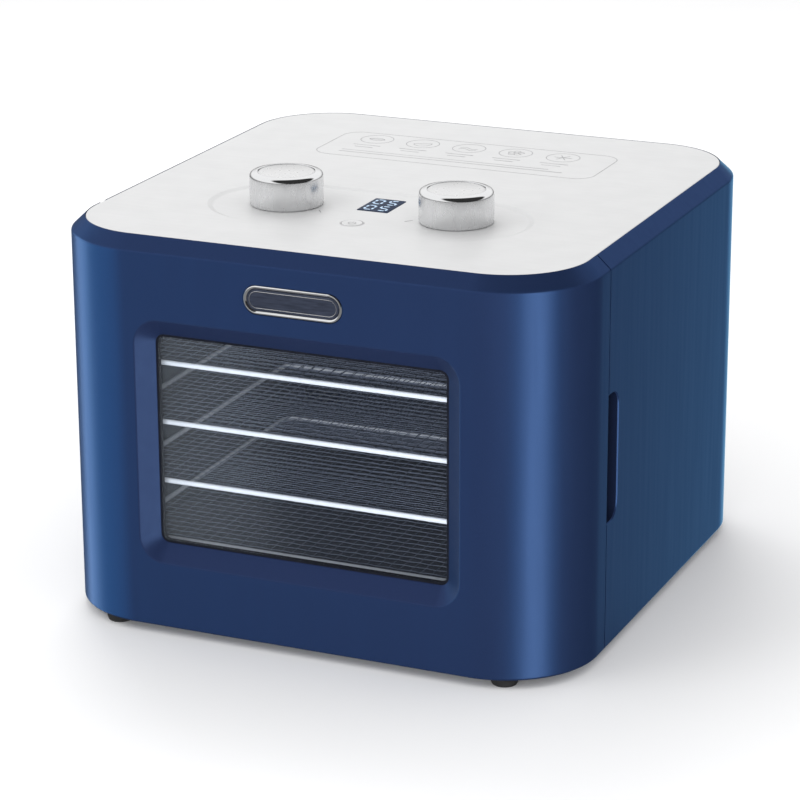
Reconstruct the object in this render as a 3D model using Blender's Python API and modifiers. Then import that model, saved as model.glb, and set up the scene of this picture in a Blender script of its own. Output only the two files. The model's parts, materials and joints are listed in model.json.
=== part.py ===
"""Countertop food dehydrator: four wire trays in a warm-air chamber behind a side-hinged glass door.

Frame: metres, +Z up. The origin is on the floor, midway between the sides and midway between
front and back. The door is on -Y and its hinge is on -X.
"""
import math

import bmesh
import bpy
from mathutils import Matrix, Vector

# ---------------------------------------------------------------- driving dimensions (metres)
GAP = 0.0003                # clearance between neighbouring pieces
SEAM_GAP = 0.0005           # clearance at the door seam and round the top panel

# Outer body
BODY_WIDTH = 0.310
BODY_DEPTH = 0.320
BODY_HEIGHT = 0.224
FOOT_HEIGHT = 0.005
CORNER_RADIUS = 0.054
CORNER_STEPS = 9
SHELL_WALL = 0.0028
CHAMFER_WIDTH = 0.008
CHAMFER_HEIGHT = 0.0075
BOTTOM_LIP = 0.008
EDGE_BREAK = 0.0015
BASE_THICKNESS = 0.0027
FOOT_RADIUS = 0.008
FOOT_SPACING_X = 0.234
FOOT_SPACING_Y = 0.294

# Door and its window
DOOR_DEPTH = 0.0655
BEZEL_WIDTH = 0.192
BEZEL_HEIGHT = 0.1405
BEZEL_RADIUS = 0.015
BEZEL_DEPTH = 0.0077
BEZEL_RIM = 0.004
WINDOW_WIDTH = 0.1732
WINDOW_HEIGHT = 0.121
WINDOW_RADIUS = 0.005
WINDOW_CENTRE = 0.1135
GLASS_THICKNESS = 0.003
GLASS_MARGIN = 0.006
SEAL_RADIUS = 0.0017
SEAL_INSET = 0.0045
INNER_PANEL_THICKNESS = 0.003
INNER_PANEL_RADIUS = 0.006
INNER_PANEL_LIFT = 0.005    # panel's lower edge above the frame's
INNER_PANEL_DROP = 0.010    # panel's upper edge below the frame's
PANEL_REVEAL = 0.0014       # inner panel's opening round the window
CLAMP_REVEAL = 0.0020
SPACER_CLEARANCE = 0.0012
SPACER_WALL = 0.0023
BADGE_WIDTH = 0.058
BADGE_HEIGHT = 0.016
BADGE_RIM = 0.002
BADGE_DEPTH = 0.0012
BADGE_CENTRE = 0.2026

# Hinge, magnet and hand grip
HINGE_INSET = 0.0045        # pivot behind the outer left face
HINGE_LEAD = 0.006          # pivot in front of the body's edge
BARREL_RADIUS = 0.0043
PIN_RADIUS = 0.0015
PIN_REACH = 0.008           # pin length above and below its bracket
BRACKET_HEIGHT = 0.015
BRACKET_MARGIN = 0.032      # from the ends of the door to the near end of a bracket
MAGNET_HEIGHT = 0.018
MAGNET_WIDTH = 0.011
MAGNET_THICKNESS = 0.003
CATCH_THICKNESS = 0.002
HINGE_ARM = 0.004
HINGE_FOOT_WIDTH = 0.0145
HINGE_FOOT_THICKNESS = 0.0025
GRIP_HEIGHT = 0.074
GRIP_DEPTH = 0.0165
GRIP_RECESS = 0.010
GRIP_CENTRE = 0.115
GRIP_WALL = 0.004

# Front frame and drying chamber
FRAME_WIDTH = 0.262
FRAME_SETBACK = 0.020
FRAME_WALL = 0.0028
FLANGE_THICKNESS = 0.0025
CHAMBER_WIDTH = 0.244
CHAMBER_BACK = 0.085
CHAMBER_FLOOR = 0.0465
CHAMBER_CEILING = 0.1855
CHAMBER_WALL = 0.0025
TRAY_COUNT = 4
TRAY_FIRST = 0.0495
TRAY_PITCH = 0.0345
TRAY_ROD = 0.0015
TRAY_SIDE_GAP = 0.0005
TRAY_FRONT_SETBACK = 0.022
TRAY_BACK_GAP = 0.007
TRAY_CORNER = 0.008
MESH_THICKNESS = 0.0012
LEDGE_DEPTH = 0.009
LEDGE_THICKNESS = 0.0025

# Top panel and controls
PANEL_THICKNESS = 0.0035
RECESS_DEPTH = 0.0012
RECESS_RADIUS = 0.0435
RECESS_SETBACK = 0.0345     # recess centre behind the door seam
KNOB_SPACING = 0.103
KNOB_SETBACK = 0.0365
KNOB_RADIUS = 0.0208
KNOB_HEIGHT = 0.0185
KNOB_BEVEL_WIDTH = 0.0045
KNOB_BEVEL_HEIGHT = 0.0022
KNOB_WALL = 0.002
KNOB_HUB = 0.0060
CAP_DEPTH = 0.0012
SHAFT_RADIUS = 0.003
ENCODER_SIZE = 0.013
ENCODER_HEIGHT = 0.0065
BUSH_RADIUS = 0.0045
BUSH_HEIGHT = 0.006
DISPLAY_WIDTH = 0.0186
DISPLAY_DEPTH = 0.0268
DISPLAY_SETBACK = 0.0515
DISPLAY_MARGIN = 0.0012     # display module round its lens
LENS_THICKNESS = 0.0030
BUTTON_RADIUS = 0.006
BUTTON_SETBACK = 0.0115
BUTTON_HEIGHT = 0.0046
BUTTON_STEM = 0.002
SWITCH_WIDTH = 0.007
SWITCH_HEIGHT = 0.0106
BUTTON_TRAVEL = 0.001
BOARD_WIDTH = 0.156
BOARD_THICKNESS = 0.0016
BOARD_FRONT_MARGIN = 0.0055
BOARD_BACK_MARGIN = 0.008
BOARD_DROP = 0.0204         # board's top face below the panel's underside
POWER_BOARD_SIZE = (0.120, 0.080)
POWER_BOARD_Z = 0.020
TRANSFORMER_SIZE = (0.030, 0.028, 0.016)
TRANSFORMER_CORNER = (-0.045, 0.012)
RELAY_SIZE = (0.020, 0.016, 0.012)
RELAY_CORNER = (0.010, 0.014)
TERMINAL_SIZE = (0.080, 0.012, 0.009)
TERMINAL_CORNER = (-0.040, 0.060)
PART_SINK = 0.0005          # board parts sunk into their board

# Fan, heater and rear
FAN_RADIUS = 0.052
FAN_CENTRE = 0.117
FAN_FRONT = 0.0965
FAN_DEPTH = 0.020
FAN_HUB = 0.009
FAN_BLADES = 7
BLADE_THICKNESS = 0.0016
BLADE_ANGLE = math.radians(35)
MOTOR_SHAFT_RADIUS = 0.0025
MOTOR_RADIUS = 0.024
MOTOR_LENGTH = 0.0205
MOTOR_PLATE_Y = 0.1245
MOTOR_PLATE = 0.0025
MOTOR_PLATE_SIZE = (0.160, 0.150)
HEATER_RADIUS = 0.062
HEATER_TUBE = 0.0035
HEATER_Y = 0.106
BAFFLE_THICKNESS = 0.002
INLET_MARGIN = 0.006        # fan inlet inside the blade tips
INLET_SLOT = 0.006
INLET_PITCH = 0.012
INLET_SIDE_ROWS = 3
OUTLET_SIZE = (0.024, 0.008)
OUTLET_X = 0.098
SENSOR_PLACE = (-0.078, 0.176)
SENSOR_RADIUS = 0.002
SENSOR_FRONT = 0.012
SENSOR_BACK = 0.007
CUTOUT_PLACE = (0.100, 0.172)
CUTOUT_RADIUS = 0.008
CUTOUT_THICKNESS = 0.006
BRACKET_WINDOW_RADIUS = 0.022
BRACKET_WINDOW_PLACE = (0.042, 0.038)
HEATER_BRACKET_WIDTH = 0.090
HEATER_BRACKET_THICKNESS = 0.0025
REAR_COVER_SIZE = (0.180, 0.150)
REAR_COVER_RADIUS = 0.010
REAR_COVER_THICKNESS = 0.0027
REAR_COVER_SINK = 0.0023
LOUVRE_SIZE = (0.070, 0.005)
LOUVRE_PITCH = 0.012
LOUVRE_ROWS = 8
SCREW_HEAD_RADIUS = 0.0035
SCREW_HEAD_HEIGHT = 0.0018
SCREW_RADIUS = 0.0015
SCREW_LENGTH = 0.012
GLAND_X = 0.085
GLAND_Z = 0.028
GLAND_BORE = 0.0035
GLAND_WALL = 0.003
GLAND_FLANGE = 0.0025

# ---------------------------------------------------------------- derived places
HALF_W = BODY_WIDTH / 2
HALF_D = BODY_DEPTH / 2
BODY_TOP = FOOT_HEIGHT + BODY_HEIGHT
FRONT_Y = -HALF_D
SEAM_Y = FRONT_Y + DOOR_DEPTH
BODY_EDGE_Y = SEAM_Y + SEAM_GAP / 2
DOOR_EDGE_Y = SEAM_Y - SEAM_GAP / 2
LIP_TOP = FOOT_HEIGHT + SHELL_WALL
CHAMFER_DROP = SHELL_WALL * math.hypot(CHAMFER_WIDTH, CHAMFER_HEIGHT) / CHAMFER_WIDTH
PIVOT_X = -HALF_W + HINGE_INSET
PIVOT_Y = SEAM_Y - HINGE_LEAD
FRAME_FRONT = FRONT_Y + FRAME_SETBACK
FRAME_LOW = FOOT_HEIGHT + max(BASE_THICKNESS, SHELL_WALL) + GAP
PANEL_LOW = BODY_TOP - PANEL_THICKNESS
FRAME_HIGH = BODY_TOP - max(PANEL_THICKNESS, CHAMFER_DROP) - GAP
FLANGE_FRONT = BODY_EDGE_Y + GAP
FLANGE_BACK = FLANGE_FRONT + FLANGE_THICKNESS
CHAMBER_FRONT = FRAME_FRONT + FRAME_WALL + GAP
RECESS_FLOOR = BODY_TOP - RECESS_DEPTH
RECESS_CENTRE_Y = SEAM_Y + RECESS_SETBACK
KNOB_CENTRE_Y = SEAM_Y + KNOB_SETBACK
DISPLAY_CENTRE_Y = SEAM_Y + DISPLAY_SETBACK
BUTTON_CENTRE_Y = SEAM_Y + BUTTON_SETBACK
KNOB_LOW = RECESS_FLOOR + GAP
KNOB_TOP = KNOB_LOW + KNOB_HEIGHT
BOARD_TOP = PANEL_LOW - BOARD_DROP
BEZEL_BACK = FRONT_Y + BEZEL_DEPTH
GLASS_FRONT = BEZEL_BACK + GAP
GLASS_BACK = GLASS_FRONT + GLASS_THICKNESS
INNER_PANEL_BACK = FRAME_FRONT - 2 * SEAL_RADIUS - 2 * GAP
TRAY_FRONT = FRONT_Y + TRAY_FRONT_SETBACK
TRAY_BACK = CHAMBER_BACK - TRAY_BACK_GAP
TRAY_HALF = CHAMBER_WIDTH / 2 - TRAY_SIDE_GAP - TRAY_ROD
SEAL_HALF = FRAME_WIDTH / 2 - SEAL_INSET
BAFFLE_FRONT = CHAMBER_BACK + GAP
BAFFLE_BACK = BAFFLE_FRONT + BAFFLE_THICKNESS
REAR_COVER_BACK = HALF_D - REAR_COVER_SINK
REAR_COVER_FRONT = REAR_COVER_BACK - REAR_COVER_THICKNESS
BRACKET_ZONES = {
    "bottom": FOOT_HEIGHT + BRACKET_MARGIN,
    "top": BODY_TOP - BRACKET_MARGIN - BRACKET_HEIGHT,
}
MAGNET_LOW = GRIP_CENTRE + GRIP_HEIGHT / 2 + 0.026


# ---------------------------------------------------------------- scene set-up
def clear_scene():
    for obj in list(bpy.data.objects):
        bpy.data.objects.remove(obj)


def new_collection(name):
    collection = bpy.data.collections.new(name)
    bpy.context.scene.collection.children.link(collection)
    return collection


clear_scene()
PART = new_collection("food_dehydrator")
CUTTERS = new_collection("cutters")


def principled(name, colour, roughness, metallic=0.0, transmission=0.0):
    mat = bpy.data.materials.new(name)
    mat.use_nodes = True
    shader = mat.node_tree.nodes["Principled BSDF"]
    shader.inputs["Base Color"].default_value = (*colour, 1.0)
    shader.inputs["Roughness"].default_value = roughness
    shader.inputs["Metallic"].default_value = metallic
    shader.inputs["Transmission Weight"].default_value = transmission
    return mat


BLUE = principled("blue_shell", (0.020, 0.070, 0.230), 0.30)
WHITE = principled("white_panel", (0.800, 0.805, 0.810), 0.35)
CHROME = principled("chrome", (0.780, 0.785, 0.800), 0.12, 1.0)
SATIN = principled("satin_cap", (0.800, 0.800, 0.810), 0.35, 0.6)
DARK = principled("dark_plastic", (0.018, 0.020, 0.028), 0.45)
STEEL = principled("steel", (0.520, 0.530, 0.545), 0.30, 1.0)
ENAMEL = principled("chamber_enamel", (0.030, 0.032, 0.040), 0.40)
RUBBER = principled("rubber", (0.020, 0.020, 0.022), 0.75)
GLASS = principled("glass", (0.420, 0.440, 0.470), 0.05, 0.0, 0.9)
BOARD = principled("circuit_board", (0.020, 0.130, 0.060), 0.50)
BRASS = principled("brass", (0.600, 0.430, 0.180), 0.35, 1.0)
LENS = principled("display_lens", (0.012, 0.022, 0.060), 0.12)


# ---------------------------------------------------------------- modelling helpers
def add_object(name, data, mat, matrix=None):
    """Link a new object to the part, or to the cutters when it has no material."""
    obj = bpy.data.objects.new(name, data)
    obj.matrix_world = matrix or Matrix.Identity(4)
    if mat is None:
        CUTTERS.objects.link(obj)
        obj.hide_render = True
        obj.display_type = "WIRE"
    else:
        PART.objects.link(obj)
        obj.data.materials.append(mat)
    return obj


def mesh_from(name, bm, smooth=False):
    data = bpy.data.meshes.new(name)
    bmesh.ops.recalc_face_normals(bm, faces=bm.faces)
    bm.to_mesh(data)
    bm.free()
    if smooth:
        data.shade_smooth()
        data.set_sharp_from_angle(angle=math.radians(35))
    return data


def block(name, low, high, mat=None, turn=None):
    """A box between two corners; turn is a matrix applied to the finished box."""
    bm = bmesh.new()
    bmesh.ops.create_cube(bm, size=1.0)
    size = [b - a for a, b in zip(low, high)]
    centre = [(a + b) / 2 for a, b in zip(low, high)]
    bmesh.ops.scale(bm, vec=size, verts=bm.verts)
    bmesh.ops.translate(bm, vec=centre, verts=bm.verts)
    if turn is not None:
        bmesh.ops.transform(bm, matrix=turn, verts=bm.verts)
    return add_object(name, mesh_from(name, bm), mat)


def axis_matrix(axis, origin):
    """Local +Z laid along the world axis, at the origin given."""
    turns = {
        "Z": Matrix.Identity(4),
        "Y": Matrix.Rotation(-math.pi / 2, 4, "X"),
    }
    return Matrix.Translation(origin) @ turns[axis]


def drum(name, centre, radius, low, high, axis="Z", mat=None, sides=24):
    """A cylinder between low and high on a Z or Y axis through the centre."""
    bm = bmesh.new()
    bmesh.ops.create_cone(
        bm, cap_ends=True, segments=sides, radius1=radius, radius2=radius, depth=high - low
    )
    bmesh.ops.translate(bm, vec=(0, 0, (low + high) / 2), verts=bm.verts)
    return add_object(name, mesh_from(name, bm, smooth=True), mat, axis_matrix(axis, centre))


def turned(name, profile, origin, mat, axis="Z", steps=32, closed=False):
    """A turned piece: (radius, height) points run down its outer side, top to bottom."""
    bm = bmesh.new()
    verts = [bm.verts.new((radius, 0, height)) for radius, height in profile]
    for a, b in zip(verts, verts[1:]):
        bm.edges.new((a, b))
    if closed:
        bm.edges.new((verts[-1], verts[0]))
    data = bpy.data.meshes.new(name)
    bm.to_mesh(data)
    bm.free()
    obj = add_object(name, data, mat, axis_matrix(axis, origin))
    screw = obj.modifiers.new("turn", "SCREW")
    screw.steps = steps
    screw.render_steps = steps
    screw.use_merge_vertices = True
    screw.merge_threshold = 0.00001
    screw.use_smooth_shade = True
    return obj


def rounded_rect(width, height, radius, centre=(0.0, 0.0), steps=5):
    """Anticlockwise points of a rectangle with round corners."""
    points = []
    corners = ((1, 1, 0), (-1, 1, 90), (-1, -1, 180), (1, -1, 270))
    for sx, sy, start in corners:
        cx = centre[0] + sx * (width / 2 - radius)
        cy = centre[1] + sy * (height / 2 - radius)
        for i in range(steps + 1):
            angle = math.radians(start + 90 * i / steps)
            points.append((cx + radius * math.cos(angle), cy + radius * math.sin(angle)))
    return points


def rectangle(width, height, centre=(0.0, 0.0)):
    x, y = width / 2, height / 2
    return [(centre[0] + u, centre[1] + v) for u, v in ((x, y), (-x, y), (-x, -y), (x, -y))]


def circle(radius, centre=(0.0, 0.0), steps=16):
    angles = [2 * math.pi * i / steps for i in range(steps)]
    return [(centre[0] + radius * math.cos(a), centre[1] + radius * math.sin(a)) for a in angles]


def poly_curve(name, outlines, cyclic=True, flat=True):
    curve = bpy.data.curves.new(name, "CURVE")
    curve.dimensions = "2D" if flat else "3D"
    for outline in outlines:
        spline = curve.splines.new("POLY")
        spline.points.add(len(outline) - 1)
        for point, place in zip(spline.points, outline):
            point.co = (place[0], place[1], place[2] if len(place) > 2 else 0.0, 1.0)
        spline.use_cyclic_u = cyclic
    return curve


def curve_to_mesh(name, curve, mat, matrix=None, smooth=False):
    """Turn a curve into a closed mesh object and remove the curve."""
    guide = bpy.data.objects.new(name + "_curve", curve)
    guide.matrix_world = matrix or Matrix.Identity(4)
    CUTTERS.objects.link(guide)
    graph = bpy.context.evaluated_depsgraph_get()
    data = bpy.data.meshes.new_from_object(guide.evaluated_get(graph))
    place = guide.matrix_world.copy()
    bpy.data.objects.remove(guide)
    bm = bmesh.new()
    bm.from_mesh(data)
    bmesh.ops.remove_doubles(bm, verts=bm.verts, dist=0.000005)
    bmesh.ops.recalc_face_normals(bm, faces=bm.faces)
    bm.to_mesh(data)
    bm.free()
    data.name = name
    data.materials.clear()
    if smooth:
        data.shade_smooth()
        data.set_sharp_from_angle(angle=math.radians(35))
    return add_object(name, data, mat, place)


def plate(name, outlines, low, high, mat=None, axis="Z"):
    """A flat plate. The first outline is its edge and the others are holes.

    On axis Z an outline's points are (x, y), on axis Y they are (x, z), on axis X (y, z).
    """
    curve = poly_curve(name, outlines)
    curve.fill_mode = "BOTH"
    curve.extrude = (high - low) / 2
    middle = (low + high) / 2
    turns = {
        "Z": Matrix.Translation((0, 0, middle)),
        "Y": Matrix.Translation((0, middle, 0)) @ Matrix.Rotation(math.pi / 2, 4, "X"),
        "X": Matrix.Translation((middle, 0, 0))
        @ Matrix.Rotation(math.pi / 2, 4, "Z")
        @ Matrix.Rotation(math.pi / 2, 4, "X"),
    }
    return curve_to_mesh(name, curve, mat, turns[axis])


def sweep(name, path, section, mat=None):
    """A closed ring: a section of (outward, up) points carried round a flat path."""
    inward = [(-outward, up) for outward, up in section]
    profile = bpy.data.objects.new(name + "_section", poly_curve(name + "_section", [inward]))
    CUTTERS.objects.link(profile)
    curve = poly_curve(name, [path])
    curve.bevel_mode = "OBJECT"
    curve.bevel_object = profile
    obj = curve_to_mesh(name, curve, mat)
    bpy.data.objects.remove(profile)
    return obj


def tube(name, points, radius, mat, cyclic=False, resolution=2):
    curve = poly_curve(name, [points], cyclic=cyclic, flat=False)
    curve.bevel_depth = radius
    curve.bevel_resolution = resolution
    curve.use_fill_caps = True
    return curve_to_mesh(name, curve, mat, smooth=True)


def loft(name, rings, mat=None):
    """A closed solid through rings of equal point counts, for unlike sections."""
    bm = bmesh.new()
    loops = [[bm.verts.new(point) for point in ring] for ring in rings]
    for a, b in zip(loops, loops[1:]):
        for i in range(len(a)):
            j = (i + 1) % len(a)
            bm.faces.new((a[i], a[j], b[j], b[i]))
    bm.faces.new(loops[0])
    bm.faces.new(loops[-1])
    return add_object(name, mesh_from(name, bm), mat)


def combine(obj, others, operation):
    for other in others:
        modifier = obj.modifiers.new(other.name, "BOOLEAN")
        modifier.operation = operation
        modifier.solver = "EXACT"
        modifier.object = other
    return obj


def cut(obj, *others):
    return combine(obj, others, "DIFFERENCE")


def join(obj, *others):
    return combine(obj, others, "UNION")


def body_outline(inset=0.0, steps=CORNER_STEPS):
    return rounded_rect(
        BODY_WIDTH - 2 * inset, BODY_DEPTH - 2 * inset, CORNER_RADIUS - inset, steps=steps
    )


# ---------------------------------------------------------------- outer shells
def shell_ring(name, mat):
    """The whole outer wall: bottom lip, upright side and top chamfer."""
    shoulder = BODY_TOP - CHAMFER_HEIGHT
    knee = shoulder - CHAMFER_DROP + SHELL_WALL * CHAMFER_HEIGHT / CHAMFER_WIDTH
    section = [
        (-EDGE_BREAK, FOOT_HEIGHT),
        (0.0, FOOT_HEIGHT + EDGE_BREAK),
        (0.0, shoulder),
        (-CHAMFER_WIDTH, BODY_TOP),
        (-CHAMFER_WIDTH, BODY_TOP - CHAMFER_DROP),
        (-SHELL_WALL, knee),
        (-SHELL_WALL, LIP_TOP),
        (-BOTTOM_LIP, LIP_TOP),
        (-BOTTOM_LIP, FOOT_HEIGHT),
    ]
    return sweep(name, body_outline(), section, mat)


def make_body_shell():
    shell = shell_ring("body_shell", BLUE)
    inner_x = HALF_W - GRIP_RECESS - GRIP_WALL
    low_z = GRIP_CENTRE - GRIP_HEIGHT / 2
    high_z = GRIP_CENTRE + GRIP_HEIGHT / 2
    housing = block(
        "grip_housing",
        (inner_x, SEAM_Y - 0.006, low_z - 2 * GRIP_WALL),
        (HALF_W - SHELL_WALL / 2, SEAM_Y + GRIP_DEPTH + GRIP_WALL, high_z + 2 * GRIP_WALL),
    )
    grip_outline = rounded_rect(2 * GRIP_DEPTH, GRIP_HEIGHT, 0.9 * GRIP_DEPTH, (SEAM_Y, GRIP_CENTRE))
    hollow = plate("grip_hollow", [grip_outline], HALF_W - GRIP_RECESS, HALF_W + 0.01, axis="X")
    front = block("body_front_cut", (-1, -1, -1), (1, BODY_EDGE_Y, 1))
    opening_outline = rounded_rect(*REAR_COVER_SIZE, REAR_COVER_RADIUS, (0.0, FAN_CENTRE))
    opening = plate("rear_opening", [opening_outline], HALF_D - 0.01, HALF_D + 0.01, axis="Y")
    gland_hole = drum(
        "gland_hole",
        (GLAND_X, 0, GLAND_Z),
        GLAND_BORE + GLAND_WALL + GAP,
        HALF_D - 0.01,
        HALF_D + 0.01,
        axis="Y",
    )
    join(shell, housing)
    return cut(shell, hollow, front, opening, gland_hole)


def window_cutter():
    """The sloping bezel faces and the opening behind them."""
    over = 0.0005
    rim_x = BEZEL_WIDTH + 2 * over * (BEZEL_WIDTH - WINDOW_WIDTH) / 2 / BEZEL_DEPTH
    rim_z = BEZEL_HEIGHT + 2 * over * (BEZEL_HEIGHT - WINDOW_HEIGHT) / 2 / BEZEL_DEPTH
    sizes = (
        (FRONT_Y - over, rim_x, rim_z, BEZEL_RADIUS),
        (BEZEL_BACK - 0.0007, WINDOW_WIDTH, WINDOW_HEIGHT, WINDOW_RADIUS),
        (BEZEL_BACK + 0.004, WINDOW_WIDTH, WINDOW_HEIGHT, WINDOW_RADIUS),
    )
    rings = []
    for y, width, height, radius in sizes:
        outline = rounded_rect(width, height, radius, (0.0, WINDOW_CENTRE))
        rings.append([(x, y, z) for x, z in outline])
    return loft("window_cutter", rings)


def make_door_shell():
    shell = shell_ring("door_shell", BLUE)
    rim_x = BEZEL_WIDTH / 2 + BEZEL_RIM
    rim_z = BEZEL_HEIGHT / 2 + BEZEL_RIM
    bezel = block(
        "bezel_block",
        (-rim_x, FRONT_Y + SHELL_WALL / 2, WINDOW_CENTRE - rim_z),
        (rim_x, BEZEL_BACK, WINDOW_CENTRE + rim_z),
    )
    badge_outline = rounded_rect(
        BADGE_WIDTH + 2 * GAP, BADGE_HEIGHT + 2 * GAP, BADGE_HEIGHT / 2, (0.0, BADGE_CENTRE), steps=6
    )
    badge_pocket = plate(
        "badge_pocket", [badge_outline], FRONT_Y - 0.001, FRONT_Y + BADGE_DEPTH, axis="Y"
    )
    rear = block("door_rear_cut", (-1, DOOR_EDGE_Y, -1), (1, 1, 1))
    hinge_side = block("door_hinge_cut", (-1, PIVOT_Y, -1), (PIVOT_X + 0.010, 1, 1))
    join(shell, bezel)
    cut(shell, rear, hinge_side, window_cutter(), badge_pocket)
    barrel = drum(
        "door_barrel",
        (PIVOT_X, PIVOT_Y, 0),
        BARREL_RADIUS,
        LIP_TOP + 0.004,
        BODY_TOP - CHAMFER_HEIGHT - 0.006,
        sides=16,
    )
    join(shell, barrel)
    for level, low in BRACKET_ZONES.items():
        notch = block(
            "hinge_notch_" + level,
            (PIVOT_X - 0.010, PIVOT_Y - BARREL_RADIUS - 0.0012, low - SEAM_GAP),
            (PIVOT_X + BARREL_RADIUS + 0.001, PIVOT_Y + 0.010, low + BRACKET_HEIGHT + SEAM_GAP),
        )
        bore = drum(
            "pin_bore_" + level,
            (PIVOT_X, PIVOT_Y, 0),
            PIN_RADIUS + GAP,
            low - PIN_REACH - GAP,
            low + BRACKET_HEIGHT + PIN_REACH + GAP,
            sides=12,
        )
        cut(shell, notch, bore)
    return shell


def make_top_panel():
    inset = CHAMFER_WIDTH + SEAM_GAP
    outlines = [body_outline(inset)]
    for side in (-1, 1):
        outlines.append(circle(SHAFT_RADIUS + 2 * GAP, (side * KNOB_SPACING / 2, KNOB_CENTRE_Y)))
    outlines.append(rectangle(DISPLAY_WIDTH + 2 * GAP, DISPLAY_DEPTH + 2 * GAP, (0, DISPLAY_CENTRE_Y)))
    outlines.append(circle(BUTTON_RADIUS + GAP, (0, BUTTON_CENTRE_Y)))
    panel = plate("top_panel", outlines, PANEL_LOW, BODY_TOP, WHITE)
    recess_outline = rounded_rect(
        KNOB_SPACING + 2 * RECESS_RADIUS,
        2 * RECESS_RADIUS,
        RECESS_RADIUS - 0.0001,
        (0.0, RECESS_CENTRE_Y),
        steps=12,
    )
    return cut(panel, plate("recess_cutter", [recess_outline], RECESS_FLOOR, BODY_TOP + 0.001))


def make_base():
    inset = BOTTOM_LIP + GAP
    half_w = HALF_W - inset
    half_d = HALF_D - inset
    radius = CORNER_RADIUS - inset
    tongue = FRAME_WIDTH / 2
    nose_x = min(half_w - radius, tongue)
    reach = math.acos(min(1.0, (tongue - nose_x) / radius))
    steps = CORNER_STEPS if tongue > nose_x else 0
    nose = []
    for i in range(steps + 1):
        angle = math.pi / 2 + (reach - math.pi / 2) * i / max(1, steps)
        nose.append((nose_x + radius * math.cos(angle), radius - half_d - radius * math.sin(angle)))
    outline = [(-x, y) for x, y in reversed(nose)] + nose
    outline += [(tongue, BODY_EDGE_Y), (half_w, BODY_EDGE_Y)]
    for side, start in ((1, 0), (-1, 90)):
        for i in range(CORNER_STEPS + 1):
            angle = math.radians(start + 90 * i / CORNER_STEPS)
            x = side * (half_w - radius) + radius * math.cos(angle)
            outline.append((x, half_d - radius + radius * math.sin(angle)))
    outline += [(-half_w, BODY_EDGE_Y), (-tongue, BODY_EDGE_Y)]
    plate("base_plate", [outline], FOOT_HEIGHT, FOOT_HEIGHT + BASE_THICKNESS, DARK)
    top = FOOT_HEIGHT - GAP
    profile = [(0, top), (FOOT_RADIUS, top), (FOOT_RADIUS * 0.86, 0.0004), (FOOT_RADIUS * 0.82, 0), (0, 0)]
    places = {"front": -FOOT_SPACING_Y / 2, "rear": FOOT_SPACING_Y / 2}
    for end, y in places.items():
        for hand, side in (("left", -1), ("right", 1)):
            turned(f"foot_{end}_{hand}", profile, (side * FOOT_SPACING_X / 2, y, 0), RUBBER, steps=24)


# ---------------------------------------------------------------- front frame and chamber
def make_front_frame():
    half = FRAME_WIDTH / 2
    near = (-half, FRAME_FRONT, FRAME_LOW)
    far = (half, FLANGE_BACK - 0.001, FRAME_HIGH)
    frame = block("front_frame", near, far, DARK)
    flange_x = HALF_W - SHELL_WALL - GAP
    flange_top = BODY_TOP - CHAMFER_HEIGHT - SHELL_WALL
    flange = block(
        "frame_flange",
        (-flange_x, FLANGE_FRONT, LIP_TOP + GAP),
        (flange_x, FLANGE_BACK, flange_top),
    )
    cavity = block(
        "frame_cavity",
        (-half + FRAME_WALL, FRAME_FRONT + FRAME_WALL, FRAME_LOW + FRAME_WALL),
        (half - FRAME_WALL, FLANGE_BACK + 0.01, FRAME_HIGH - FRAME_WALL),
    )
    opening = block(
        "frame_opening",
        (-CHAMBER_WIDTH / 2, FRAME_FRONT - 0.01, CHAMBER_FLOOR),
        (CHAMBER_WIDTH / 2, FRAME_FRONT + 0.01, CHAMBER_CEILING),
    )
    grip_gap = 2 * GRIP_WALL + 0.002
    grip_notch = block(
        "grip_notch",
        (HALF_W - GRIP_RECESS - GRIP_WALL - 0.002, SEAM_Y - 0.01, GRIP_CENTRE - GRIP_HEIGHT / 2 - grip_gap),
        (HALF_W + 0.01, FLANGE_BACK + 0.01, GRIP_CENTRE + GRIP_HEIGHT / 2 + grip_gap),
    )
    join(frame, flange)
    return cut(frame, cavity, opening, grip_notch)


def tray_level(index):
    return TRAY_FIRST + index * TRAY_PITCH


def make_chamber():
    inner = CHAMBER_WIDTH / 2
    outer = inner + CHAMBER_WALL
    for hand, side in (("left", -1), ("right", 1)):
        outline = [(side * inner, CHAMBER_FLOOR), (side * outer, CHAMBER_FLOOR)]
        outline += [(side * outer, CHAMBER_CEILING), (side * inner, CHAMBER_CEILING)]
        for index in reversed(range(TRAY_COUNT)):
            high = tray_level(index) - TRAY_ROD - GAP
            low = max(high - LEDGE_THICKNESS, CHAMBER_FLOOR)
            if low > CHAMBER_FLOOR:
                outline += [(side * inner, high), (side * (inner - LEDGE_DEPTH), high)]
                outline += [(side * (inner - LEDGE_DEPTH), low), (side * inner, low)]
            else:
                outline += [(side * inner, high), (side * (inner - LEDGE_DEPTH), high)]
                outline[0] = (side * (inner - LEDGE_DEPTH), CHAMBER_FLOOR)
        plate("chamber_" + hand, [outline], CHAMBER_FRONT, CHAMBER_BACK, ENAMEL, axis="Y")
    for name, low in (
        ("chamber_floor", CHAMBER_FLOOR - GAP - CHAMBER_WALL),
        ("chamber_ceiling", CHAMBER_CEILING + GAP),
    ):
        block(name, (-outer, CHAMBER_FRONT, low), (outer, CHAMBER_BACK, low + CHAMBER_WALL), ENAMEL)


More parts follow.
